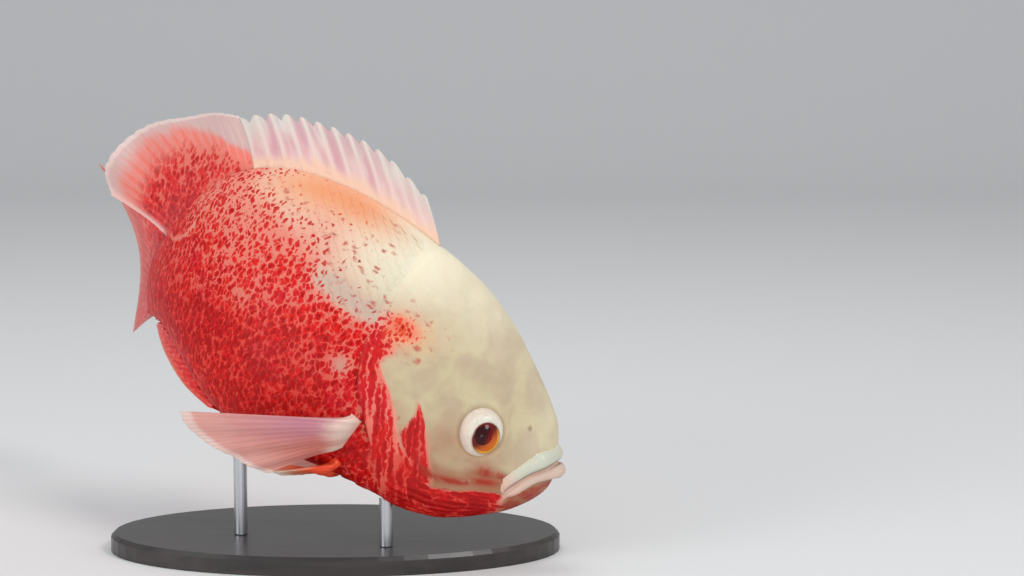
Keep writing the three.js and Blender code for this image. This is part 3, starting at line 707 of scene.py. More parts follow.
# %% The relief of the skin, in millimetres
def cover_relief(station, height, turn):
    """The gill cover's plate and the throat's folds, and the painted shade in their creases."""
    degrees = np.degrees(np.minimum(turn, 2 * np.pi - turn))
    edge, front = gill_edge(degrees), gill_front(degrees)
    share = np.clip((degrees - 55) / 105, 0, 1)
    narrow = np.sin(np.pi * (share * 12 + 0.6) / 13.2) ** 0.35 * plateau(degrees, 50, 90, 158, 165)
    start = mix(edge, front, narrow)
    along = np.clip((station - start) / np.maximum(edge - start, 1e-4), 0, 1)
    plate = (station > start) & (station <= edge + 1e-6)
    ahead, behind = station - start, station - edge
    lift = np.where(plate, (0.25 * ease(along, 0, 0.12) + 0.75 * along**1.3) * narrow, 0)
    step = 0.55 * hill(behind, 0.012) * narrow + COAT_DEPTH * ease(behind, -0.01, 0.012)
    lift -= np.where(behind > 1e-6, step, 0)
    lift += (0.35 * hill(ahead + 0.014, 0.008) - 0.4 * hill(ahead + 0.002, 0.0035)) * narrow
    seam = hill(degrees - 109 - 60 * (station - 0.3), 1.6) * ease(along, 0.1, 0.35)
    lift -= 0.28 * seam * np.where(plate, narrow, 0)
    folds = ease(degrees, 134, 146) * plateau(station, 0.085, 0.12, 0.23, 0.27)
    lift += 0.2 * folds * np.sin(np.radians(degrees) * 52 + 30 * station)
    waves = np.sin(station * 130) * np.sin(np.radians(degrees) * 9)
    lift += 0.12 * waves * ease(station, 0.02, 0.08) * (behind < 0)
    # Painted shade under the gill cover's free edge and in the groove in front of it.
    dark = 0.5 * hill(behind - 0.004, 0.004) * ease(degrees, 70, 100) * (behind > -0.001)
    return lift, (dark + 0.3 * hill(ahead + 0.002, 0.003) * ease(degrees, 80, 100)) * narrow


def face_relief(points, side):
    """The eye's socket and ring, the nostril, the fold at the mouth's corner, and the cheek, with painted
    shade in the eye's groove and in the nostril.
    """
    forward, upward, near = around(points, EYE, side)
    r = np.where(near, np.hypot(forward / 7.7, upward / 8.5) * 8.1, 99)
    lift = 0.5 * hill(r - 9.6, 1.3) - 0.7 * hill(r - 8.2, 0.7) - 3.2 * (1 - ease(r, 6.0, 7.8))
    lift += 0.25 * hill(r - 12.6, 1.4) * ease(-upward, -2, 5)
    # Painted shade in the groove round the eye's ring.
    dark = 0.35 * hill(r - 8.3, 0.7)
    forward, upward, near = around(points, NOSTRIL, side)
    r = np.where(near, np.hypot(forward, upward * 0.85), 99)
    lift += 0.16 * hill(r - 1.5, 0.6) - 1.2 * (1 - ease(r, 0.3, 0.95))
    # Painted shade in the pit of the nostril.
    dark += 0.28 * (1 - ease(r, 0.3, 1.1))
    forward, upward, near = around(points, MOUTH_FOLD, side)
    bend = upward - 0.42 * forward - 0.03 * forward**2
    lift -= np.where(near, 0.5 * hill(bend, 0.8) * hill(forward, 6.5), 0)
    forward, upward, near = around(points, CHEEK, side)
    return lift + np.where(near, 0.9 * hill(np.hypot(forward, upward * 0.8), 9), 0), dark


def flank_attributes(station, height, side):
    ground, reds = markings(station, height)
    fish = np.stack(np.broadcast_arrays(station, side, height), -1) * STANDARD_LENGTH
    return {"fish": fish, "ground": ground, "reds": reds}


# %% The lips, rust marks and painted shadow round the mouth
def mouth_marks(station, height):
    """How far the skin is lip, and how far it carries rust marks and the painted shadow under the chin."""
    rust_and_shade = hill(np.hypot((station - 0.112) / 0.014, (height + 0.079) / 0.013), 1)
    stain = hill(np.hypot((station - 0.085) / 0.028, (height + 0.075) / 0.007), 1)
    band = hill(height - THROAT_TOP(station) - 0.016, 0.0075)
    band = band * plateau(station, 0.07, 0.1, 0.2, 0.25)
    gape = gape_height(np.clip(station, 0, 0.07))
    # Painted shadow: dull red-brown under the lower jaw, below the lip, where the jaw shades the chin.
    chin_shade = ease(gape - height, 0.026, 0.036) * (1 - ease(station, 0.065, 0.09))
    from_gape = np.hypot(np.maximum(station - 0.064, 0), (height - gape + 0.004) * 0.9)
    lip = (1 - ease(from_gape, 0.009, 0.016)) * (1 - ease(station, 0.062, 0.074))
    return lip, np.maximum.reduce([rust_and_shade, 0.8 * stain, band, 0.75 * chin_shade])


# %% The sheet
def skin_sheet():
    turn = np.arange(TURNS) / TURNS * 2 * np.pi
    edge = gill_edge(np.degrees(np.minimum(turn, 2 * np.pi - turn)))
    head = (np.arange(1, HEAD_ROWS + 1) / HEAD_ROWS)[:, None] ** 1.45
    rear = np.append([0.004, 0.012], np.linspace(0.024, 1, BODY_ROWS))[:, None]
    station = np.concatenate([SNOUT + (edge - SNOUT) * head, edge + (1 - edge) * rear])
    station, turn = np.broadcast_arrays(station, turn)
    side, height = cross_section(station, turn)
    points = in_room(skin_point(station, turn))
    normals = unit(skin_normal(station, turn) @ FISH_TURN.T)
    lift, dark = cover_relief(station, height, turn)
    for flank in (RIGHT, LEFT):
        more_lift, more_dark = face_relief(points, flank)
        lift, dark = lift + more_lift, dark + more_dark
    points = points + normals * lift[..., None] * MM
    lip, rust_and_shade = mouth_marks(station, height)
    made = flank_attributes(station, height, side)
    made["ground"][..., 1] = np.maximum(made["ground"][..., 1], lip)
    # The third part of flow is the painted shade of the creases, the eye's groove and the nostrils.
    made["flow"] = np.stack([*flow(station, height), np.clip(dark, 0, 1)], -1)
    made["mouth"] = np.stack([lip, np.zeros_like(lip), rust_and_shade], -1)
    made = {key: with_ends(values) for key, values in made.items()}
    ends = np.stack([in_room(place(SNOUT, 0, -0.022)), in_room(place(1.004, 0, 0.0))])
    points = np.concatenate([points.reshape(-1, 3), ends])
    faces = face_outwards(points, tube_faces(len(station), TURNS))
    return make_mesh("skin", points, faces, SKIN_FINISH, made)


skin = skin_sheet()
print("skin:", len(skin.data.polygons), "faces")

# %% [markdown]
# ## The lips
# An oscar's lips are two thick rolls that meet at a long, sloping mouth line and thin out at the
# corner. Each is a tube round the front of the mouth, following the line of the gape. They are
# joined into the skin with a Boolean union, which leaves the fine crease that real lips have.

# %% Two rolls round the mouth
UPPER_LIP = {
    "direction": 1, "half_height": 0.0145, "half_thickness": 0.0105, "corner": 0.75,
    "thin_from": 0.45, "thin_to": 0.9, "sink": 0.009, "spread": 0.084, "pinkness": 0.05,
}
LOWER_LIP = {
    "direction": -1, "half_height": 0.0125, "half_thickness": 0.0105, "corner": 0.6,
    "thin_from": 0.05, "thin_to": 0.6, "sink": 0.0046, "spread": 0.055, "pinkness": 0.65,
}
GAPE_END = 0.07
GAPE_FRONT_SLOPE = -0.47
SIDE_SINK = 0.003
SLIT = 0.5 * MM / STANDARD_LENGTH
LIP_STEPS, LIP_SIDES = 150, 30


def lip_roll(
    name, direction, half_height, half_thickness, corner, thin_from, thin_to, sink, spread, pinkness
):
    across = np.linspace(-1, 1, LIP_STEPS + 1)
    far, flank = np.abs(across), -np.sign(across)
    station = GAPE_END * far**1.5
    slope = (gape_height(station) - gape_height(station - 0.001)) / 0.001
    slope = mix(GAPE_FRONT_SLOPE, slope, ease(far, 0, 0.4))
    run, fall = 1 / np.hypot(1, slope), slope / np.hypot(1, slope)
    blunt = np.sqrt(1 - 0.995 * np.clip((far - 0.88) / 0.12, 0, 1) ** 2)
    size = mix(1, corner, ease(far, thin_from, thin_to)) * blunt
    shift = direction * (half_height * size + SLIT / 2)
    shifted = station - shift * fall
    height = gape_height(station) + shift * run
    on_skin = half_width(shifted) * np.sin(turn_at(shifted, height))
    on_flank = ease(far, 0.25, 0.6)
    side = flank * mix(spread * np.sin(np.pi / 2 * far) ** 0.9, on_skin, on_flank)
    swing = np.pi / 2 * far**0.8
    ahead, aside = np.cos(swing), flank * np.sin(swing)
    outward = unit(np.stack([run * ahead, aside, -fall * ahead], -1))
    upward = np.stack([fall, np.zeros_like(fall), run], -1)
    sunk = mix(sink, SIDE_SINK, on_flank)[:, None] * STANDARD_LENGTH
    centre = place(shifted, side, height) - outward * sunk
    angle = np.arange(LIP_SIDES) / LIP_SIDES * 2 * np.pi
    wrinkle = 1 + 0.03 * np.sin(across * 70)[:, None] * np.sin(angle)
    tall = np.cos(angle) * (half_height * size)[:, None] * STANDARD_LENGTH
    deep = np.sin(angle) * wrinkle * (half_thickness * size)[:, None] * STANDARD_LENGTH
    ring = centre[:, None] + upward[:, None] * tall[..., None] + outward[:, None] * deep[..., None]
    points = np.concatenate([in_room(ring).reshape(-1, 3), in_room(centre[[0, -1]])])

    whole = np.ones((LIP_STEPS + 1, LIP_SIDES))
    made = flank_attributes(*(v[:, None] * whole for v in (shifted, height, side)))
    pink = mix(pinkness, 1.0, ease(far, 0.75, 1.0))[:, None] * whole
    # Painted shade on the side of each lip that turns into the gape.
    inner_shade = ease(-direction * np.cos(angle), 0.72, 0.98) * whole
    amount = whole * (1 - 0.2 * ease(far, 0.8, 1))[:, None]
    made["ground"] = np.stack([0 * pink, pink, 0 * pink], -1)
    made["mouth"] = np.stack([amount, 0.6 * inner_shade, 0 * whole], -1)
    made["flow"] = 0 * made["mouth"]
    made = {key: with_ends(values) for key, values in made.items()}
    faces = face_outwards(points, tube_faces(LIP_STEPS + 1, LIP_SIDES))
    return make_mesh(name, points, faces, SKIN_FINISH, made)


# %% Joining them into one skin
def plain_mesh(thing):
    """Replaces an object's mesh by what its modifiers make of it, and removes them."""
    graph = bpy.context.evaluated_depsgraph_get()
    shown = thing.evaluated_get(graph)
    made = bpy.data.meshes.new_from_object(shown, preserve_all_data_layers=True, depsgraph=graph)
    thing.modifiers.clear()
    thing.data = made


def join_solids(main, *others):
    for other in others:
        union = main.modifiers.new("join", "BOOLEAN")
        union.operation, union.solver, union.object = "UNION", "MANIFOLD", other
    plain_mesh(main)
    for other in others:
        bpy.data.objects.remove(other)


join_solids(skin, lip_roll("upper", **UPPER_LIP), lip_roll("lower", **LOWER_LIP))
skin.data.shade_smooth()
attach(skin, "root")
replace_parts(skin, "head", "torso", "tail", "upper_lip", "lower_lip", "gill_cover_right", "gill_cover_left")
print("skin with lips:", len(skin.data.polygons), "faces")

# %% [markdown]
# ## The scales
# Rows of thin overlapping plates cover the flanks, each with its front sunk in the skin and its
# free edge a little raised. The rows run parallel to the body's axis and end where they meet the
# back and the belly, as on the real fish, and the plates get smaller towards the tail. A Geometry
# Nodes tree sets one flat plate on every place of a point cloud, turned by the place's own
# directions, and each plate is then bent to the body's roundness. Bump alone would be cheaper, but
# plates give the true broken edge in the side light.

# %% One scale
SCALE_LENGTH = 4.3 * MM
SCALE_ROW = 2.35 * MM
TAIL_SHRINK = 0.6


def scale_plate():
    """A thin closed plate, 1 long and 1 wide, with its root at the origin and its edge at +X."""
    along = np.array([0, 0.35, 0.66, 0.9, 1.0])[:, None] * np.ones(7)
    across = np.array([-1, -0.88, -0.48, 0, 0.48, 0.88, 1])[None, :] * np.ones((5, 1))
    width = 0.5 * (0.62 + 0.38 * ease(along, 0, 0.45))
    reach = along * (1 - 0.5 * across**2 * along)
    border = np.maximum(ease(np.abs(across), 0.8, 1.0), ease(along, 0.86, 1.0))
    rise = 0.125 * along + 0.03 * np.sin(np.pi * along) - 0.025 * across**2
    top = np.stack([reach, across * width, rise - 0.02 * border], -1)
    low = top - np.array([0, 0, 1.0]) * (0.07 - 0.035 * border)[..., None]
    points = np.concatenate([top.reshape(-1, 3), low.reshape(-1, 3)])
    faces, rim = thick_faces(*along.shape)
    plate = make_mesh("plate", points, face_outwards(points, faces), SKIN_FINISH, {"plate": points})
    outline = {frozenset(pair) for pair in rim}
    sharp = plate.data.attributes.new("sharp_edge", "BOOLEAN", "EDGE")
    for edge in plate.data.edges:
        sharp.data[edge.index].value = frozenset(edge.vertices) in outline
    print("one scale:", len(plate.data.polygons), "faces")
    return plate


# %% Rows of places for the scales
ARC_TURNS = np.radians(np.linspace(0, 180, 361))
MIDDLE_ROW_TURN = math.radians(86)
MOST_ROWS = 40
FIRST_COLUMN, LAST_COLUMN = 0.262, 0.985
COAT_FRONT = curve_through([
    (0, 0.35), (25, 0.345), (45, 0.35), (60, 0.36), (75, 0.371), (90, 0.366), (105, 0.342),
    (120, 0.315), (140, 0.29), (160, 0.275), (180, 0.275),
])
SHRINK = curve_through([(0.2, 1.0), (0.6, 1.0), (0.8, 0.82), (1.0, TAIL_SHRINK)])


def scale_rows():
    """Station, turn and row gap of each scale. Every other column is half a row off."""
    found, s, column = [], FIRST_COLUMN, 0
    while True:
        offset, height = cross_section(s, ARC_TURNS)
        arc = np.append(0, np.cumsum(np.hypot(np.diff(offset), np.diff(height)) * STANDARD_LENGTH))
        row_gap = SCALE_ROW * float(SHRINK(s))
        rows = np.arange(-MOST_ROWS, MOST_ROWS + 1)
        rows = rows[(rows + column) % 2 == 0]
        reach = np.interp(MIDDLE_ROW_TURN, ARC_TURNS, arc) + rows * row_gap
        kept = reach[(reach > 1.5 * row_gap) & (reach < arc[-1] - 0.6 * row_gap)]
        turns = np.interp(kept, arc, ARC_TURNS)
        found += [(s, turn, row_gap) for turn in turns if s > COAT_FRONT(math.degrees(turn))]
        if s >= LAST_COLUMN:
            return np.array(found).T
        s, column = s + SCALE_LENGTH / STANDARD_LENGTH * float(SHRINK(s)) / 2, column + 1


# %% Each scale's directions and size
LENGTH_OVERLAP, WIDTH_OVERLAP = 1.5, 1.14
SCALE_RISE = 1.9 * MM
PLACE_SPREAD, TURN_SPREAD, SIZE_SPREAD, RISE_SPREAD = 0.0006, 0.035, 0.03, 0.08
ROOT_DEPTH = (COAT_DEPTH + 0.12) * MM
MOST_BEND = 140


def scale_places(side, seed):
    random = np.random.default_rng(seed)
    s, turn, gap = scale_rows()
    many = len(s)
    s = s + random.normal(0, PLACE_SPREAD, many)
    turn = side * turn
    offset, height = cross_section(s, turn)
    here, normal = skin_point(s, turn), skin_normal(s, turn)
    ahead = skin_point(s + 0.01, turn_at(s + 0.01, height) * side) - here
    stretch = np.linalg.norm(ahead, axis=-1) / (0.01 * STANDARD_LENGTH)
    rear = unit(ahead - normal * (ahead * normal).sum(-1, keepdims=True))
    rear = unit(rear + np.cross(normal, rear) * random.normal(0, TURN_SPREAD, many)[:, None])
    long = gap / SCALE_ROW * SCALE_LENGTH * LENGTH_OVERLAP * random.normal(1, SIZE_SPREAD, many)
    wide = gap * 2 * WIDTH_OVERLAP * random.normal(1, SIZE_SPREAD, many)
    thick = gap / SCALE_ROW * SCALE_RISE * (0.8 + 0.2 * ease(s, 0.36, 0.5))
    thick = thick * random.normal(1, RISE_SPREAD, many)
    thick = thick * mix(0.5, 1, ease(np.degrees(np.abs(turn)), 16, 48))
    small = 0.01
    up, down = skin_point(s, turn + small), skin_point(s, turn - small)
    arc = np.linalg.norm(up - down, axis=-1) / 2
    bend = np.clip(-((up + down - 2 * here) * normal).sum(-1) / arc**2, 0, MOST_BEND)
    next_offset, next_height = cross_section(s, turn + small)
    over = unit(np.stack([np.zeros_like(s), next_offset - offset, next_height - height], -1))
    return in_room(here) - normal @ FISH_TURN.T * ROOT_DEPTH, {
        "rear": rear @ FISH_TURN.T,
        "normal": normal @ FISH_TURN.T,
        "size": np.stack([long, wide, thick], -1),
        "root": np.stack([s, turn % (2 * np.pi) / (2 * np.pi), random.uniform(0, 1, many)], -1),
        "home": np.stack([s, offset, height], -1) * STANDARD_LENGTH,
        "over": over,
        "scaled": np.stack([long / stretch, wide, bend], -1),
    }


# %% The tree that lays the coat
def input_key(tree, name):
    sockets = (s for s in tree.interface.items_tree if s.in_out == "INPUT")
    return next(s.identifier for s in sockets if s.name == name)


def coat_tree(plate, material):
    tree = bpy.data.node_groups.new("lay_scales", "GeometryNodeTree")
    socket = tree.interface.new_socket
    socket("Geometry", in_out="INPUT", socket_type="NodeSocketGeometry")
    socket("Scale size", in_out="INPUT", socket_type="NodeSocketFloat").default_value = 1.0
    socket("Geometry", in_out="OUTPUT", socket_type="NodeSocketGeometry")
    node = Nodes(tree).node

    def named(name):
        kind = "GeometryNodeInputNamedAttribute"
        return node(kind, {"Name": name}, data_type="FLOAT_VECTOR").outputs["Attribute"]

    start = node("NodeGroupInput").outputs
    axes = {"Primary Axis": named("rear"), "Secondary Axis": named("normal")}
    aim = node("FunctionNodeAxesToRotation", axes, primary_axis="X", secondary_axis="Z")
    size = {0: named("size"), "Scale": start["Scale size"]}
    lay = node("GeometryNodeInstanceOnPoints", {
        "Points": start["Geometry"],
        "Instance": node("GeometryNodeObjectInfo", {"Object": plate}).outputs["Geometry"],
        "Rotation": aim.outputs["Rotation"],
        "Scale": node("ShaderNodeVectorMath", size, operation="SCALE").outputs["Vector"],
    })
    real = node("GeometryNodeRealizeInstances", {"Geometry": lay.outputs["Instances"]})
    painted = {"Geometry": real.outputs["Geometry"], "Material": material}
    paint = node("GeometryNodeSetMaterial", painted)
    node("NodeGroupOutput", {"Geometry": paint.outputs["Geometry"]})
    return tree


# %% The finish of a scale
def scale_finish():
    finish = Finish("scales")
    made, inked, where = labyrinth(finish)
    along, _, luck = finish.parts("scale")
    rim = finish.step(along, 0.7, 1.0) * (inked * -0.04 + 0.12)
    growth = {"Vector": finish.read("scale"), "Scale": 3, "Distortion": 0.6}
    rings = finish.node("ShaderNodeTexWave", growth, bands_direction="X")
    normal = finish.bumps(rings.outputs["Fac"], 0.12, 0.0003)
    return finish.set(
        Base_Color=finish.blend(rim, made, SALMON),
        Roughness=luck * 0.16 + 0.38, Specular_IOR_Level=0.12,
        Normal=finish.bumps(finish.noise(where, 1300, 2), 0.25, 0.0003, normal),
        Coat_Weight=0.02, Coat_Roughness=0.25,
        Subsurface_Weight=0.1, Subsurface_Radius=(1.0, 0.3, 0.2), Subsurface_Scale=0.002,
    )


SCALE_FINISH = scale_finish()
print("finish ready:", SCALE_FINISH.name)

# %% Lay the coat on both flanks
PATCH = 0.003
PATCH_MARGIN = 0.02


def lay_coat(name, side, seed, plate, tree):
    points, carried = scale_places(side, seed)
    coat = make_mesh(name, points, [], SCALE_FINISH, carried)
    layer = coat.modifiers.new("lay", "NODES")
    layer.node_group = tree
    layer[input_key(tree, "Scale size")] = 1.0
    plain_mesh(coat)
    mesh = coat.data
    local, root, home, over, scaled, normal = (
        vectors_of(mesh, key) for key in ("plate", "root", "home", "over", "scaled", "normal")
    )
    across = local[:, 1] * scaled[:, 1]
    spots = np.zeros(len(mesh.vertices) * 3, np.float32)
    mesh.vertices.foreach_get("co", spots)
    spots = spots.reshape(-1, 3) - normal * (scaled[:, 2] * across**2 / 2)[:, None]
    mesh.vertices.foreach_set("co", spots.astype(np.float32).reshape(-1))
    fish = home + over * across[:, None]
    fish[:, 0] += local[:, 0] * scaled[:, 0]
    ground, reds = markings(fish[:, 0] / STANDARD_LENGTH, fish[:, 2] / STANDARD_LENGTH)
    on_scale = np.stack([local[:, 0], local[:, 1] * 2, root[:, 2]], -1)
    for key, values in {"fish": fish, "ground": ground, "reds": reds, "scale": on_scale}.items():
        set_vectors(mesh, key, values)
    corner = np.zeros(len(mesh.loops), np.int32)
    mesh.loops.foreach_get("vertex_index", corner)
    patch = PATCH_MARGIN + (1 - 2 * PATCH_MARGIN) * root[:, :2] + PATCH * (local[:, :2] - [0.5, 0])
    bake = mesh.uv_layers.new(name="OFBake")
    bake.data.foreach_set("uv", patch[corner].astype(np.float32).reshape(-1))
    for key in ("plate", *carried):
        mesh.attributes.remove(mesh.attributes[key])
    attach(coat, "root")
    print(name, "has", len(points), "scales,", len(mesh.polygons), "faces")


plate = scale_plate()
tree = coat_tree(plate, SCALE_FINISH)
lay_coat("scales_right", RIGHT, 11, plate, tree)
lay_coat("scales_left", LEFT, 12, plate, tree)
bpy.data.objects.remove(plate)

# %% [markdown]
# ## The eyes
# An albino's eye is a white, bulging ball in a raised ring of skin. The pupil has no dark pigment,
# so it shows the red of the blood behind it, and the iris glows orange below. The clear cornea is
# a second, smaller dome on the ball, set forwards and down, where the fish is looking. Glass over
# a hollow eye would look true but dims the iris. A thick glossy coat over a painted, domed surface
# catches the same highlight, and holds in any renderer.


# %% The finish of an eye, in millimetres from the cornea's middle
IRIS_MIDDLE, IRIS_TALL = (0.3, -0.1), 1.15
PUPIL_MIDDLE, PUPIL_TALL = (-1.1, 0.45), 1.14


def eye_finish():
    finish = Finish("eye")
    step, noise = finish.step, finish.noise
    x, y, _ = finish.parts("look")
    where = finish.read("look")

    def radius(middle, tall):
        dx, dy = x - middle[0], finish.sum("DIVIDE", y - middle[1], tall)
        return finish.sum("SQRT", dx * dx + dy * dy)

    from_iris = radius(IRIS_MIDDLE, IRIS_TALL)
    from_pupil = radius(PUPIL_MIDDLE, PUPIL_TALL)
    veins = step(noise(where, 0.9, 4, 0.6, 1.5), 0.45, 0.75)
    fibres = step(noise(finish.stretched(where, (1, 1, 0)), 2.4, 4, 0.7, 0.4), 0.42, 0.7)
    low = step(x - y * 0.5, -0.6, 4.4)
    iris = finish.over(
        finish.blend(low, colour(96, 14, 14), colour(222, 112, 26)),
        (fibres * (low * 0.6 + 0.2), colour(206, 84, 40)),
        (step(from_iris, 3.9, 4.5) * low, colour(238, 178, 66)),
    )
    ring = step(from_iris, 4.6, 5.0) * step(from_iris, 5.6, 5.1)
    blood = finish.blend(step(x, -0.6, 2.2), colour(52, 6, 10), colour(140, 4, 8))
    shaded = step(y * -0.9 - x * 0.5, -1.0, 9.0) * step(from_iris, 5.0, 5.4)
    made = finish.over(
        finish.blend(veins, colour(232, 227, 212), colour(216, 198, 180)),
        (step(from_iris, 5.15, 4.85), iris), (ring * 0.45, colour(120, 74, 52)),
        (step(from_pupil, 3.35, 3.0), blood),
        (step(from_iris, 6.6, 8.4) * 0.3, colour(206, 160, 138)),
        (shaded * 0.4, colour(196, 160, 142)),
    )
    return finish.set(
        Base_Color=made, Roughness=0.5, Specular_IOR_Level=0.05,
        Coat_Weight=0.4, Coat_Roughness=0.05,
        Subsurface_Weight=0.15, Subsurface_Radius=(1.0, 0.5, 0.4), Subsurface_Scale=0.001,
    )


EYE_FINISH = eye_finish()
print("finish ready:", EYE_FINISH.name)

# %% The ball and its cornea
BALL_RADII = (8.7, 9.57, 6.6)
BALL_SUNK, BACK_SUNK = 3.2, 2.5
DOME, DOME_RADIUS = 0.75, 5.6
BALL_ROWS, BALL_COLUMNS = 72, 120


def eye_ball(name, side):
    point, normal, forward, upward = seat(*EYE, side)
    cornea_point, _, _, _ = seat(*CORNEA, side)
    centre = point - normal * BALL_SUNK * MM
    polar = np.linspace(0, np.radians(100), BALL_ROWS)[:, None]
    turn = np.arange(BALL_COLUMNS) / BALL_COLUMNS * 2 * np.pi
    flat, whole = np.sin(polar), np.ones(BALL_COLUMNS)
    local = flat * np.cos(turn), flat * np.sin(turn), np.cos(polar) * whole
    x, y, z = (radius * part for radius, part in zip(BALL_RADII, local))
    offset = (cornea_point - point) / MM
    cx, cy = offset @ forward, offset @ upward
    r = np.hypot(x - cx, (y - cy) / 1.08)
    z = z + DOME * (1 - ease(r, 1.0, DOME_RADIUS)) - 0.28 * hill(r - 5.4, 0.8)
    points = centre + MM * (x[..., None] * forward + y[..., None] * upward + z[..., None] * normal)
    look = np.stack([x - cx, y - cy, z], -1)
    back_point = (centre - normal * BACK_SUNK * MM)[None]
    points = np.concatenate([points[1:].reshape(-1, 3), points[:1, 0], back_point])
    look = np.concatenate([look[1:].reshape(-1, 3), look[:1, 0], look[-1:, 0]])
    faces = face_outwards(points, tube_faces(BALL_ROWS - 1, BALL_COLUMNS))
    ball = make_mesh(name, points, faces, EYE_FINISH, {"look": look})
    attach(ball, "root")
    return ball


for name, side in (("right", RIGHT), ("left", LEFT)):
    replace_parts(eye_ball(f"eyeball_{name}", side), f"eye_{name}")
print("eyes set")

# %% [markdown]
# ## The fins
# A fin is a film between bony rays. The front of the back fin has stiff, pointed spines with the
# film cut in between them. All other rays are soft, and split into branches towards the edge. Each
# fin is a fine grid over the same fan of rays as the solids, thick where a ray runs and thin as
# paper between. Cloth simulation could make the folds, but it would not keep the fin's outline.

# %% Lines of the rays
NEIGHBOUR_GAP = 0.3 * MM
FIN_GAP = 1.4 * NEIGHBOUR_GAP / STANDARD_LENGTH
PAIRED_LIFT = 0.4 * MM
RAY_POINTS = 97


def walk(root, lengths, fars, direction_at):
    """Adds up a ray from its root. fars are fractions of its length, from 0 to 1."""
    fine = np.linspace(0, 1, RAY_POINTS)
    middle = (fine[1:] + fine[:-1]) / 2
    steps = direction_at(middle) * (lengths * STANDARD_LENGTH)[:, None, None] / (len(fine) - 1)
    path = np.concatenate([np.zeros_like(steps[:, :1]), np.cumsum(steps, 1)], 1)
    found = np.empty(fars.shape + (3,))
    for axis in range(3):
        for i in range(len(root)):
            found[i, :, axis] = np.interp(fars[i], fine, path[i, :, axis])
    inward = steps[:, :1] * (len(fine) - 1)
    found += np.minimum(fars, 0)[..., None] * inward
    return found + root[:, None]


def median_rays(fars, station, direction, lengths, *angles):
    """Rays from the back or belly. angles: sweep backwards, curl, and sweep added at the tip."""
    edge = back(station) if direction > 0 else belly(station)
    root = place(station, 0, edge + direction * FIN_GAP)
    sweep, curl, more = (np.radians(np.broadcast_to(a, station.shape))[:, None] for a in angles)

    def direction_at(part):
        many = np.broadcast_to(station[:, None], (len(station), len(part)))
        rear, _, up = directions_at(many, heading(many) - curl * part)
        lean = (sweep + more * part)[..., None]
        return rear * np.sin(lean) + up * direction * np.cos(lean)

    return walk(root, lengths, fars, direction_at)


def paired_rays(fars, station, turn, side, lengths, drop, flare, bend):
    """Rays from one flank, dropped, flared outwards and bent back, all in degrees."""
    normal = skin_normal(station, side * turn)
    root = skin_point(station, side * turn) + normal * PAIRED_LIFT
    rear, left, up = directions_at(station)
    drop = np.radians(drop)[:, None]
    along = rear * np.cos(drop) - up * np.sin(drop)

    def direction_at(part):
        folded = ease(part, 0, 0.16)[None, :, None]
        out = (math.radians(flare) - math.radians(bend) * part)[None, :, None]
        lying = along[:, None] * np.cos(out) - side * left[:, None] * np.sin(out)
        return unit(normal[:, None] * (1 - folded) + lying * folded)

    return walk(root, lengths, fars, direction_at)


# %% A fin from its rays
RAY_THINNING = 0.75
FORK_FROM = 0.3
RIPPLES = 3


def ray_bones(phase, far, width, fork):
    """How bony the fin is: 1 on a ray or its branches, 0 between them."""
    def near_ray(shift):
        across = phase[:, None] + shift
        return np.abs(across - np.round(across))

    split = fork * ease(far, FORK_FROM, 1.0)
    bone = np.maximum(hill(near_ray(split), width), hill(near_ray(-split), width))
    if fork > 0:
        stem = 0.7 * hill(near_ray(0 * split), 0.1) * (1 - ease(far, 0.8, 1.0))
        bone = np.maximum(bone, stem)
    return bone


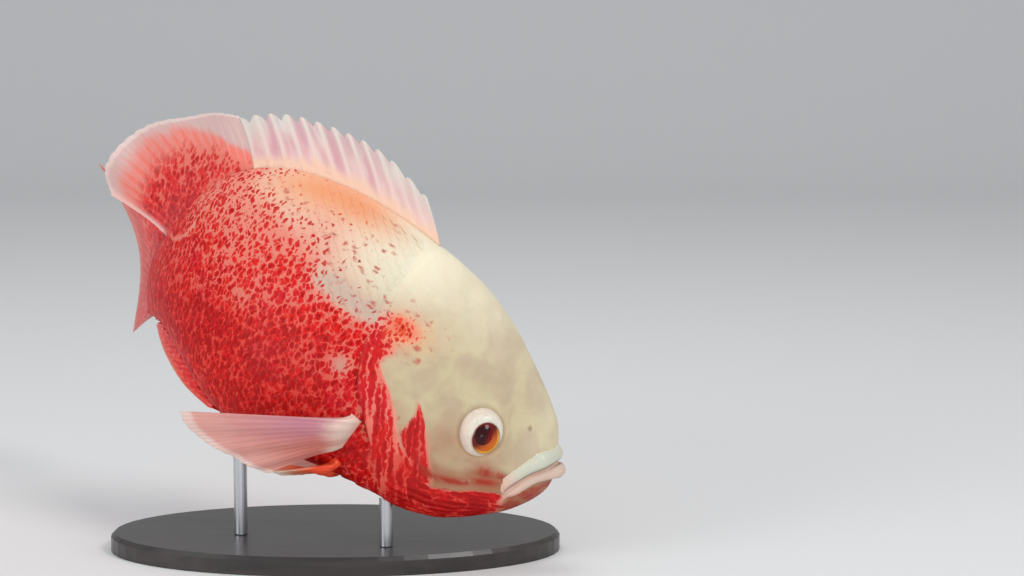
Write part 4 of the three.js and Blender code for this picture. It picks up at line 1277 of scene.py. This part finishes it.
def fin_sheet(
    name, nodes, rays_at, count, finish, thick, ridge, notch, lobe=1.0, rows=64, per_gap=10,
    bony=0.13, fork=0.25, ripple=0.0, tatter=0.003, seed=1, sunk=0.03,
    stations=(0.0, 0.0), foot=0.0, red=(0.9, 0.9), peach=(0.0, 0.0),
):
    """rays_at gives points for fractions of each column's length. thick is at root and tip."""
    random = np.random.default_rng(seed)
    columns = (count - 1) * per_gap + 1
    phase = np.arange(columns) / per_gap
    along = phase / (count - 1)
    between = np.abs(phase - np.round(phase)) * 2
    torn = random.uniform(-1, 1, count * 2)
    torn = np.interp(np.linspace(0, 1, columns), np.linspace(0, 1, count * 2), torn)
    short = (1 - notch * between**lobe) * (1 - tatter * (1 + torn))
    reach = np.concatenate([[-sunk], np.linspace(0, 1, rows) ** 0.85])
    middle = rays_at(along, np.broadcast_to(reach, (columns, rows + 1)) * short[:, None])
    far = np.clip(reach, 0, 1)
    bone = ray_bones(phase, far, bony, fork)
    normal = unit(np.cross(np.gradient(middle, axis=0), np.gradient(middle, axis=1)))
    wave = ripple * MM * far**1.5 * np.sin(2 * np.pi * (RIPPLES * along[:, None] + 0.5 * far))
    middle = middle + normal * wave[..., None]
    half = mix(*thick, np.sqrt(far)) / 2 * (1 - 0.45 * ease(far, 0.1, 0.5))
    half = ((half + bone * ridge * (1 - RAY_THINNING * far)) * MM)[..., None]
    sides = [in_room(middle + normal * half), in_room(middle - normal * half)]
    points = np.concatenate([side.reshape(-1, 3) for side in sides])
    faces, _ = thick_faces(columns, rows + 1)

    whole, along = np.ones_like(bone), along[:, None]
    foot_width = np.linalg.norm(np.diff(middle[:, 0], axis=0), axis=-1).sum()
    outwards = far * np.linalg.norm(middle[:, -1] - middle[:, 0], axis=-1)[:, None]
    start, level = mix(*stations, along) * STANDARD_LENGTH, foot * STANDARD_LENGTH
    layers = {
        "web": [along * whole, far * whole, bone],
        "spread": [along * foot_width * whole, outwards, 0 * whole],
        "fish": [start + 0.3 * outwards, 0.02 * whole, level + 0.85 * outwards],
        "reds": [mix(*red, along) * (1 - 0.35 * far), 0.25 * (1 - far) * whole, 0 * whole],
        "ground": [0 * whole, whole, mix(*peach, along) * whole],
    }
    made = {key: np.tile(np.stack(v, -1).reshape(-1, 3), (2, 1)) for key, v in layers.items()}
    fin = make_mesh(name, points, face_outwards(points, faces), finish, made)
    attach(fin, "root")
    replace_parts(fin, nodes)
    print(name, len(fin.data.polygons), "faces")


# %% [markdown]
# ## Finishes for the fins
# The foot of a soft fin is fleshy and carries the body's red speckles. Further out the film clears,
# with paler rays, until light passes through the edge. One recipe makes them all, from three
# colours and the place where the red ends. Alpha thins the film, and the rays stay more solid.

# %% The recipe for a fin
GREY_PINK = colour(220, 186, 180)
LILAC = colour(196, 128, 144)
MARGIN = colour(250, 236, 228)
HIND_EDGE = colour(250, 204, 194)


def fin_finish(
    name, foot, middle, edge, red_until, marked=0.8, clear=0.35, stripe=None, stripes=0.5,
    hind_edge=0.0, pale_front=0.0, ragged=0.4, margin=0.0, margin_from=0.94, upper=None,
):
    finish = Finish(name)
    blend, step, noise, stretched = finish.blend, finish.step, finish.noise, finish.stretched
    along, far, bone = finish.parts("web")
    where = finish.read("spread")
    body, _, _ = labyrinth(finish)
    reach = far + finish.sway(ragged, stretched(where, (1, 0.2, 1)), 190, 3, 0.6, 0.6)
    reach = reach + step(along, 0.4, -0.05) * pale_front
    if upper:
        middle = blend(step(along, 0.1, 0.7), upper, middle)
    fleshy = step(reach, red_until - 0.16, red_until + 0.14)
    thin = step(reach, red_until + 0.12, 0.96)
    made = finish.over(blend(marked, foot, body), (fleshy, middle), (thin, edge))
    if stripe:
        streak = step(noise(stretched(where, (1, 0.3, 1)), 120, 2), 0.35, 0.6) * (1.0 - bone)
        streak = streak * fleshy * (step(along, 0.05, 0.4) * 0.75 + 0.25)
        made = blend(streak * stripes, made, stripe)
    hind = step(along, 0.9, 0.98) * hind_edge * (step(far, 0.0, 0.2) * 0.6 + 0.4)
    at_edge = step(far, margin_from, 0.5 * margin_from + 0.5) * margin
    made = finish.over(made, (bone * fleshy * 0.3, edge), (at_edge, MARGIN), (hind, HIND_EDGE))
    film = (1.0 - bone * 0.5) * clear
    alpha = finish.sum("ADD", 1.0 - step(reach, red_until, 0.95) * film, hind, clamp=True)
    joints = {"Vector": where, "Scale": 260, "Distortion": 1}
    joints = finish.node("ShaderNodeTexWave", joints, bands_direction="Y").outputs["Fac"]
    fine = noise(stretched(where, (1, 0.15, 1)), 900, 2)
    return finish.set(
        Base_Color=made, Alpha=alpha, Roughness=0.42, Specular_IOR_Level=0.3,
        Normal=finish.bumps(fine, 0.3, 0.0003, finish.bumps(joints, 0.08, 0.0003)),
        Coat_Weight=0.1, Coat_Roughness=0.25,
        Subsurface_Weight=0.25, Subsurface_Radius=(1.0, 0.4, 0.3), Subsurface_Scale=0.0015,
    )


# %% The back fin
DORSAL_START, DORSAL_CHANGE, DORSAL_END = 0.35, 0.715, 0.945
SPINE_LENGTHS = curve_through([(0, 0.085), (0.1, 0.1), (0.22, 0.115), (0.5, 0.114), (1, 0.105)])
SOFT_LENGTHS = curve_through([(0, 0.108), (0.3, 0.168), (0.55, 0.23), (0.8, 0.236), (1, 0.195)])
SOFT_SWEEP = curve_through([(0, 42), (0.35, 55), (0.6, 67), (0.8, 78), (1, 82)])
SOFT_CURL = curve_through([(0, 10), (0.35, 8), (0.6, 34), (0.8, 56), (1, 60)])


def spiny_rays(along, fars):
    station = mix(DORSAL_START, DORSAL_CHANGE, along)
    return median_rays(fars, station, 1, SPINE_LENGTHS(along), mix(36, 42, along), 10, 8)


def soft_back_rays(along, fars):
    station = mix(DORSAL_CHANGE + 0.0005, DORSAL_END, along)
    angles = SOFT_SWEEP(along), SOFT_CURL(along), 8 * (1 - along)
    return median_rays(fars, station, 1, SOFT_LENGTHS(along), *angles)


SPINY_FINISH = fin_finish(
    "fin_spiny", colour(240, 214, 188), colour(230, 198, 190), colour(226, 218, 208), 0.2,
    marked=0.3, clear=0.16, stripe=colour(208, 140, 154), stripes=0.65,
)
SOFT_FINISH = fin_finish(
    "fin_soft", RED, colour(244, 128, 112), GREY_PINK, 0.64,
    marked=0.97, clear=0.08, hind_edge=0.85, pale_front=0.62, ragged=0.24, margin=0.4,
)
fin_sheet(
    "back_fin_spiny", "dorsal_fin_spiny", spiny_rays, 13, SPINY_FINISH, (3.0, 0.45), 0.32, 0.14,
    lobe=2.0, rows=44, bony=0.17, fork=0, tatter=0.006, sunk=0.12,
    stations=(0.36, 0.72), foot=0.3, red=(0.0, 0.4), peach=(0.4, 0.5),
)
fin_sheet(
    "back_fin_soft", "dorsal_fin_soft", soft_back_rays, 20, SOFT_FINISH, (3.6, 0.45), 0.2, 0.012,
    ripple=0.7, seed=3, sunk=0.06, stations=(0.72, 0.945), foot=0.22, red=(0.56, 1.12),
)

# %% The tail fin and the anal fin
ANAL_START, ANAL_END = 0.61, 0.9
ANAL_LENGTHS = curve_through([(0, 0.035), (0.2, 0.065), (0.5, 0.084), (0.8, 0.078), (1, 0.05)])
CAUDAL_EDGE, CAUDAL_MIDDLE = 0.275, 0.259
CAUDAL_DOWN, CAUDAL_UP = -11, 19
CAUDAL_CURL, CURL_POWER = 66, 4


def anal_rays(along, fars):
    station = mix(ANAL_START, ANAL_END, along)
    return median_rays(fars, station, -1, ANAL_LENGTHS(along), mix(84, 78, along), -22, 0)


def caudal_rays(along, fars):
    end = np.ones_like(along)
    height = mix(float(belly(1.0)), float(back(1.0)), along) * 0.97
    rear, _, _ = directions_at(end)
    root = place(end, 0, height) + rear * NEIGHBOUR_GAP
    spread = np.radians(mix(CAUDAL_DOWN, CAUDAL_UP, along))[:, None, None]
    curl = np.radians(CAUDAL_CURL * along**CURL_POWER)[:, None]
    lengths = mix(CAUDAL_MIDDLE, CAUDAL_EDGE, np.abs(2 * along - 1) ** 2)

    def direction_at(part):
        many = np.ones((len(along), len(part)))
        rear, _, up = directions_at(many, heading(many) - curl * part)
        return rear * np.cos(spread) + up * np.sin(spread)

    return walk(root, lengths, fars, direction_at)


ANAL_FINISH = fin_finish(
    "fin_anal", RED, colour(224, 58, 42), colour(234, 116, 96), 0.66, marked=0.7, clear=0.12
)
CAUDAL_FINISH = fin_finish(
    "fin_caudal", RED, colour(208, 60, 54), colour(226, 118, 108), 0.62, marked=0.85, clear=0.12
)
fin_sheet(
    "anal_fin_web", "anal_fin", anal_rays, 18, ANAL_FINISH, (2.0, 0.45), 0.2, 0.02,
    rows=40, per_gap=8, seed=4, stations=(0.61, 0.9), foot=-0.3, red=(0.95, 0.95),
)
fin_sheet(
    "tail_fin_web", "caudal_fin", caudal_rays, 17, CAUDAL_FINISH, (3.4, 0.45), 0.22, 0.012,
    seed=5, stations=(1.0, 1.1), foot=0.5, red=(0.95, 0.95),
)

# %% The paired fins
PECTORAL_LENGTHS = curve_through([(0, 0.32), (0.2, 0.29), (0.5, 0.22), (0.8, 0.165), (1, 0.13)])
PELVIC_LENGTHS = curve_through([(0, 0.105), (0.2, 0.13), (0.5, 0.135), (1, 0.1)])


def pectoral_rays(side, flare):
    def rays(along, fars):
        station = mix(0.341, 0.355, along)
        turn = turn_at(station, mix(-0.084, -0.138, along))
        drop = mix(21, 46, along)
        return paired_rays(fars, station, turn, side, PECTORAL_LENGTHS(along), drop, flare, 14)
    return rays


def pelvic_rays(side, flare):
    def rays(along, fars):
        station = mix(0.345, 0.362, along)
        turn = np.radians(mix(150, 166, along))
        drop = mix(32, 12, along)
        return paired_rays(fars, station, turn, side, PELVIC_LENGTHS(along), drop, flare, 8)
    return rays


PECTORAL_FINISH = fin_finish(
    "fin_pectoral", colour(240, 218, 200), colour(198, 110, 98), colour(224, 160, 148), 0.16,
    marked=0.0, clear=0.32, margin=0.5, margin_from=0.92, upper=LILAC,
)
PELVIC_FINISH = fin_finish(
    "fin_pelvic", colour(252, 84, 46), colour(255, 120, 74), colour(255, 220, 192), 0.5,
    marked=0.05, clear=0.1, margin=0.6,
)
for name, side, wide, narrow in (("right", RIGHT, 9, 4), ("left", LEFT, 34, 14)):
    fin_sheet(
        f"breast_fin_{name}", f"pectoral_fin_{name}", pectoral_rays(side, wide), 13,
        PECTORAL_FINISH, (4.6, 0.4), 0.08, 0.008, rows=72, ripple=0.5, seed=6, sunk=0.02,
    )
    fin_sheet(
        f"belly_fin_{name}", f"pelvic_fin_{name}", pelvic_rays(side, narrow), 6,
        PELVIC_FINISH, (3.2, 0.4), 0.22, 0.03, rows=48, seed=7, red=(0.5, 0.5),
    )

# %% [markdown]
# ## The stand
# A museum sets such a model on an oval board of dark lacquered wood, on two thin steel rods. The
# solids of the board and rods are already right, so they only get their finishes. The wood's grain
# and the brushed steel are stretched noise. A picture of wood would need laying out on the board.


# %% Board and rods
def board_finish():
    finish = Finish("lacquered_board")
    where = finish.node("ShaderNodeTexCoord").outputs["Object"]
    grain = finish.noise(finish.stretched(where, (1, 14, 14)), 9, 4, 0.6, 0.4)
    pores = finish.noise(finish.stretched(where, (1, 10, 10)), 60, 3)
    wood = finish.blend(finish.step(grain, 0.3, 0.7), colour(34, 30, 30), colour(58, 50, 46))
    return finish.set(
        Base_Color=wood, Normal=finish.bumps(pores, 0.15, 0.0004), Roughness=grain * 0.2 + 0.3,
        Coat_Weight=0.3, Coat_Roughness=0.25,
    )


def steel_finish():
    finish = Finish("brushed_steel")
    where = finish.node("ShaderNodeTexCoord").outputs["Object"]
    brush = finish.noise(finish.stretched(where, (1, 1, 0.03)), 2600, 3)
    return finish.set(
        Base_Color=colour(196, 198, 202), Metallic=1.0, Roughness=brush * 0.25 + 0.2,
        Normal=finish.bumps(brush, 0.1, 0.0002),
    )


def dress(material, *nodes):
    for node in nodes:
        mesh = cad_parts[node].data
        mesh.materials.clear()
        mesh.materials.append(material)
    print(material.name, "on", ", ".join(nodes))


dress(board_finish(), "stand_base")
dress(steel_finish(), "stand_rod_front", "stand_rod_rear")

# %% [markdown]
# ## The room
# The model stands on a sheet of pale paper that curves up behind it, as in a photographer's studio,
# so no edge or corner shows. Large soft lamps keep the highlights on wet skin wide, and a pale room
# fills the shadows. A picture of a real room would add reflections, but also shapes that aren't
# there in the photo. The camera looks from the photo's side, height and distance.

# %% The floor
FLOOR_FRONT, FLOOR_HALF_WIDTH = -3.0, 4.0
CURVE_START, CURVE_RADIUS, WALL_TOP = 1.6, 0.8, 3.2


def floor_sheet():
    profile = [(FLOOR_FRONT, 0.0), (CURVE_START, 0.0)]
    for angle in np.linspace(0.1, math.pi / 2, 16):
        y = CURVE_START + CURVE_RADIUS * math.sin(angle)
        profile.append((y, CURVE_RADIUS * (1 - math.cos(angle))))
    profile.append((CURVE_START + CURVE_RADIUS, WALL_TOP))
    ends = (-FLOOR_HALF_WIDTH, FLOOR_HALF_WIDTH)
    points = np.array([[(x, y, z) for y, z in profile] for x in ends])
    faces = [f[::-1] for f in grid_faces(2, len(profile))]
    paper = Finish("paper").set(Base_Color=colour(226, 226, 224), Roughness=0.9)
    return make_mesh("floor", points, faces, paper)


floor = floor_sheet()
print("floor:", len(floor.data.polygons), "faces")

# %% The lamps, each with its place, aim, width and power
LAMPS = {
    "key": ((0.75, -0.7, 1.05), (0, 0, 0.08), 0.5, 6.7),
    "fill": ((-1.1, -0.85, 0.5), (0, 0, 0.08), 0.9, 7.0),
    "low": ((0.1, -1.3, 0.06), (0, 0, 0.1), 0.5, 2.2),
    "top": ((-0.1, 0.3, 1.3), (0, 0, 0.08), 0.7, 3.6),
}
for name, (spot, aim, width, watts) in LAMPS.items():
    light = bpy.data.lights.new(name, "AREA")
    light.shape, light.size, light.energy = "DISK", width, watts
    lamp = bpy.data.objects.new(name, light)
    lamp.location = spot
    x, y, z = unit(np.subtract(aim, spot))
    lamp.rotation_euler = (math.acos(-z), 0, math.atan2(-x, y))
    bpy.context.scene.collection.objects.link(lamp)

world = bpy.data.worlds.new("studio")
world.use_nodes = True
sky = world.node_tree.nodes["Background"].inputs
sky["Color"].default_value = (0.9, 0.93, 1.0, 1)
sky["Strength"].default_value = 0.52
bpy.context.scene.world = world
bpy.context.scene.view_settings.view_transform = "Standard"
print("lamps:", ", ".join(LAMPS))

# %% The camera
ELEVATION = math.radians(7)
DISTANCE = 0.878
LENS, SENSOR, PICTURE_WIDTH, PICTURE_HEIGHT = 85.0, 36.0, 1024, 576
SNOUT_AT = (564, 457)


def add_camera():
    forward = np.array([0, math.cos(ELEVATION), -math.sin(ELEVATION)])
    upward = np.array([0, math.sin(ELEVATION), math.cos(ELEVATION)])
    pixel = SENSOR / LENS / PICTURE_WIDTH * DISTANCE
    spot = FISH_POSITION - forward * DISTANCE
    spot = spot - np.array([1, 0, 0]) * (SNOUT_AT[0] - PICTURE_WIDTH / 2) * pixel
    spot = spot + upward * (SNOUT_AT[1] - PICTURE_HEIGHT / 2) * pixel
    data = bpy.data.cameras.new("camera")
    data.lens, data.sensor_width = LENS, SENSOR
    camera = bpy.data.objects.new("camera", data)
    camera.location = spot
    camera.rotation_euler = (math.pi / 2 - ELEVATION, 0, 0)
    bpy.context.scene.collection.objects.link(camera)
    bpy.context.scene.camera = camera


add_camera()
print("camera at", np.round(bpy.context.scene.camera.location, 3))
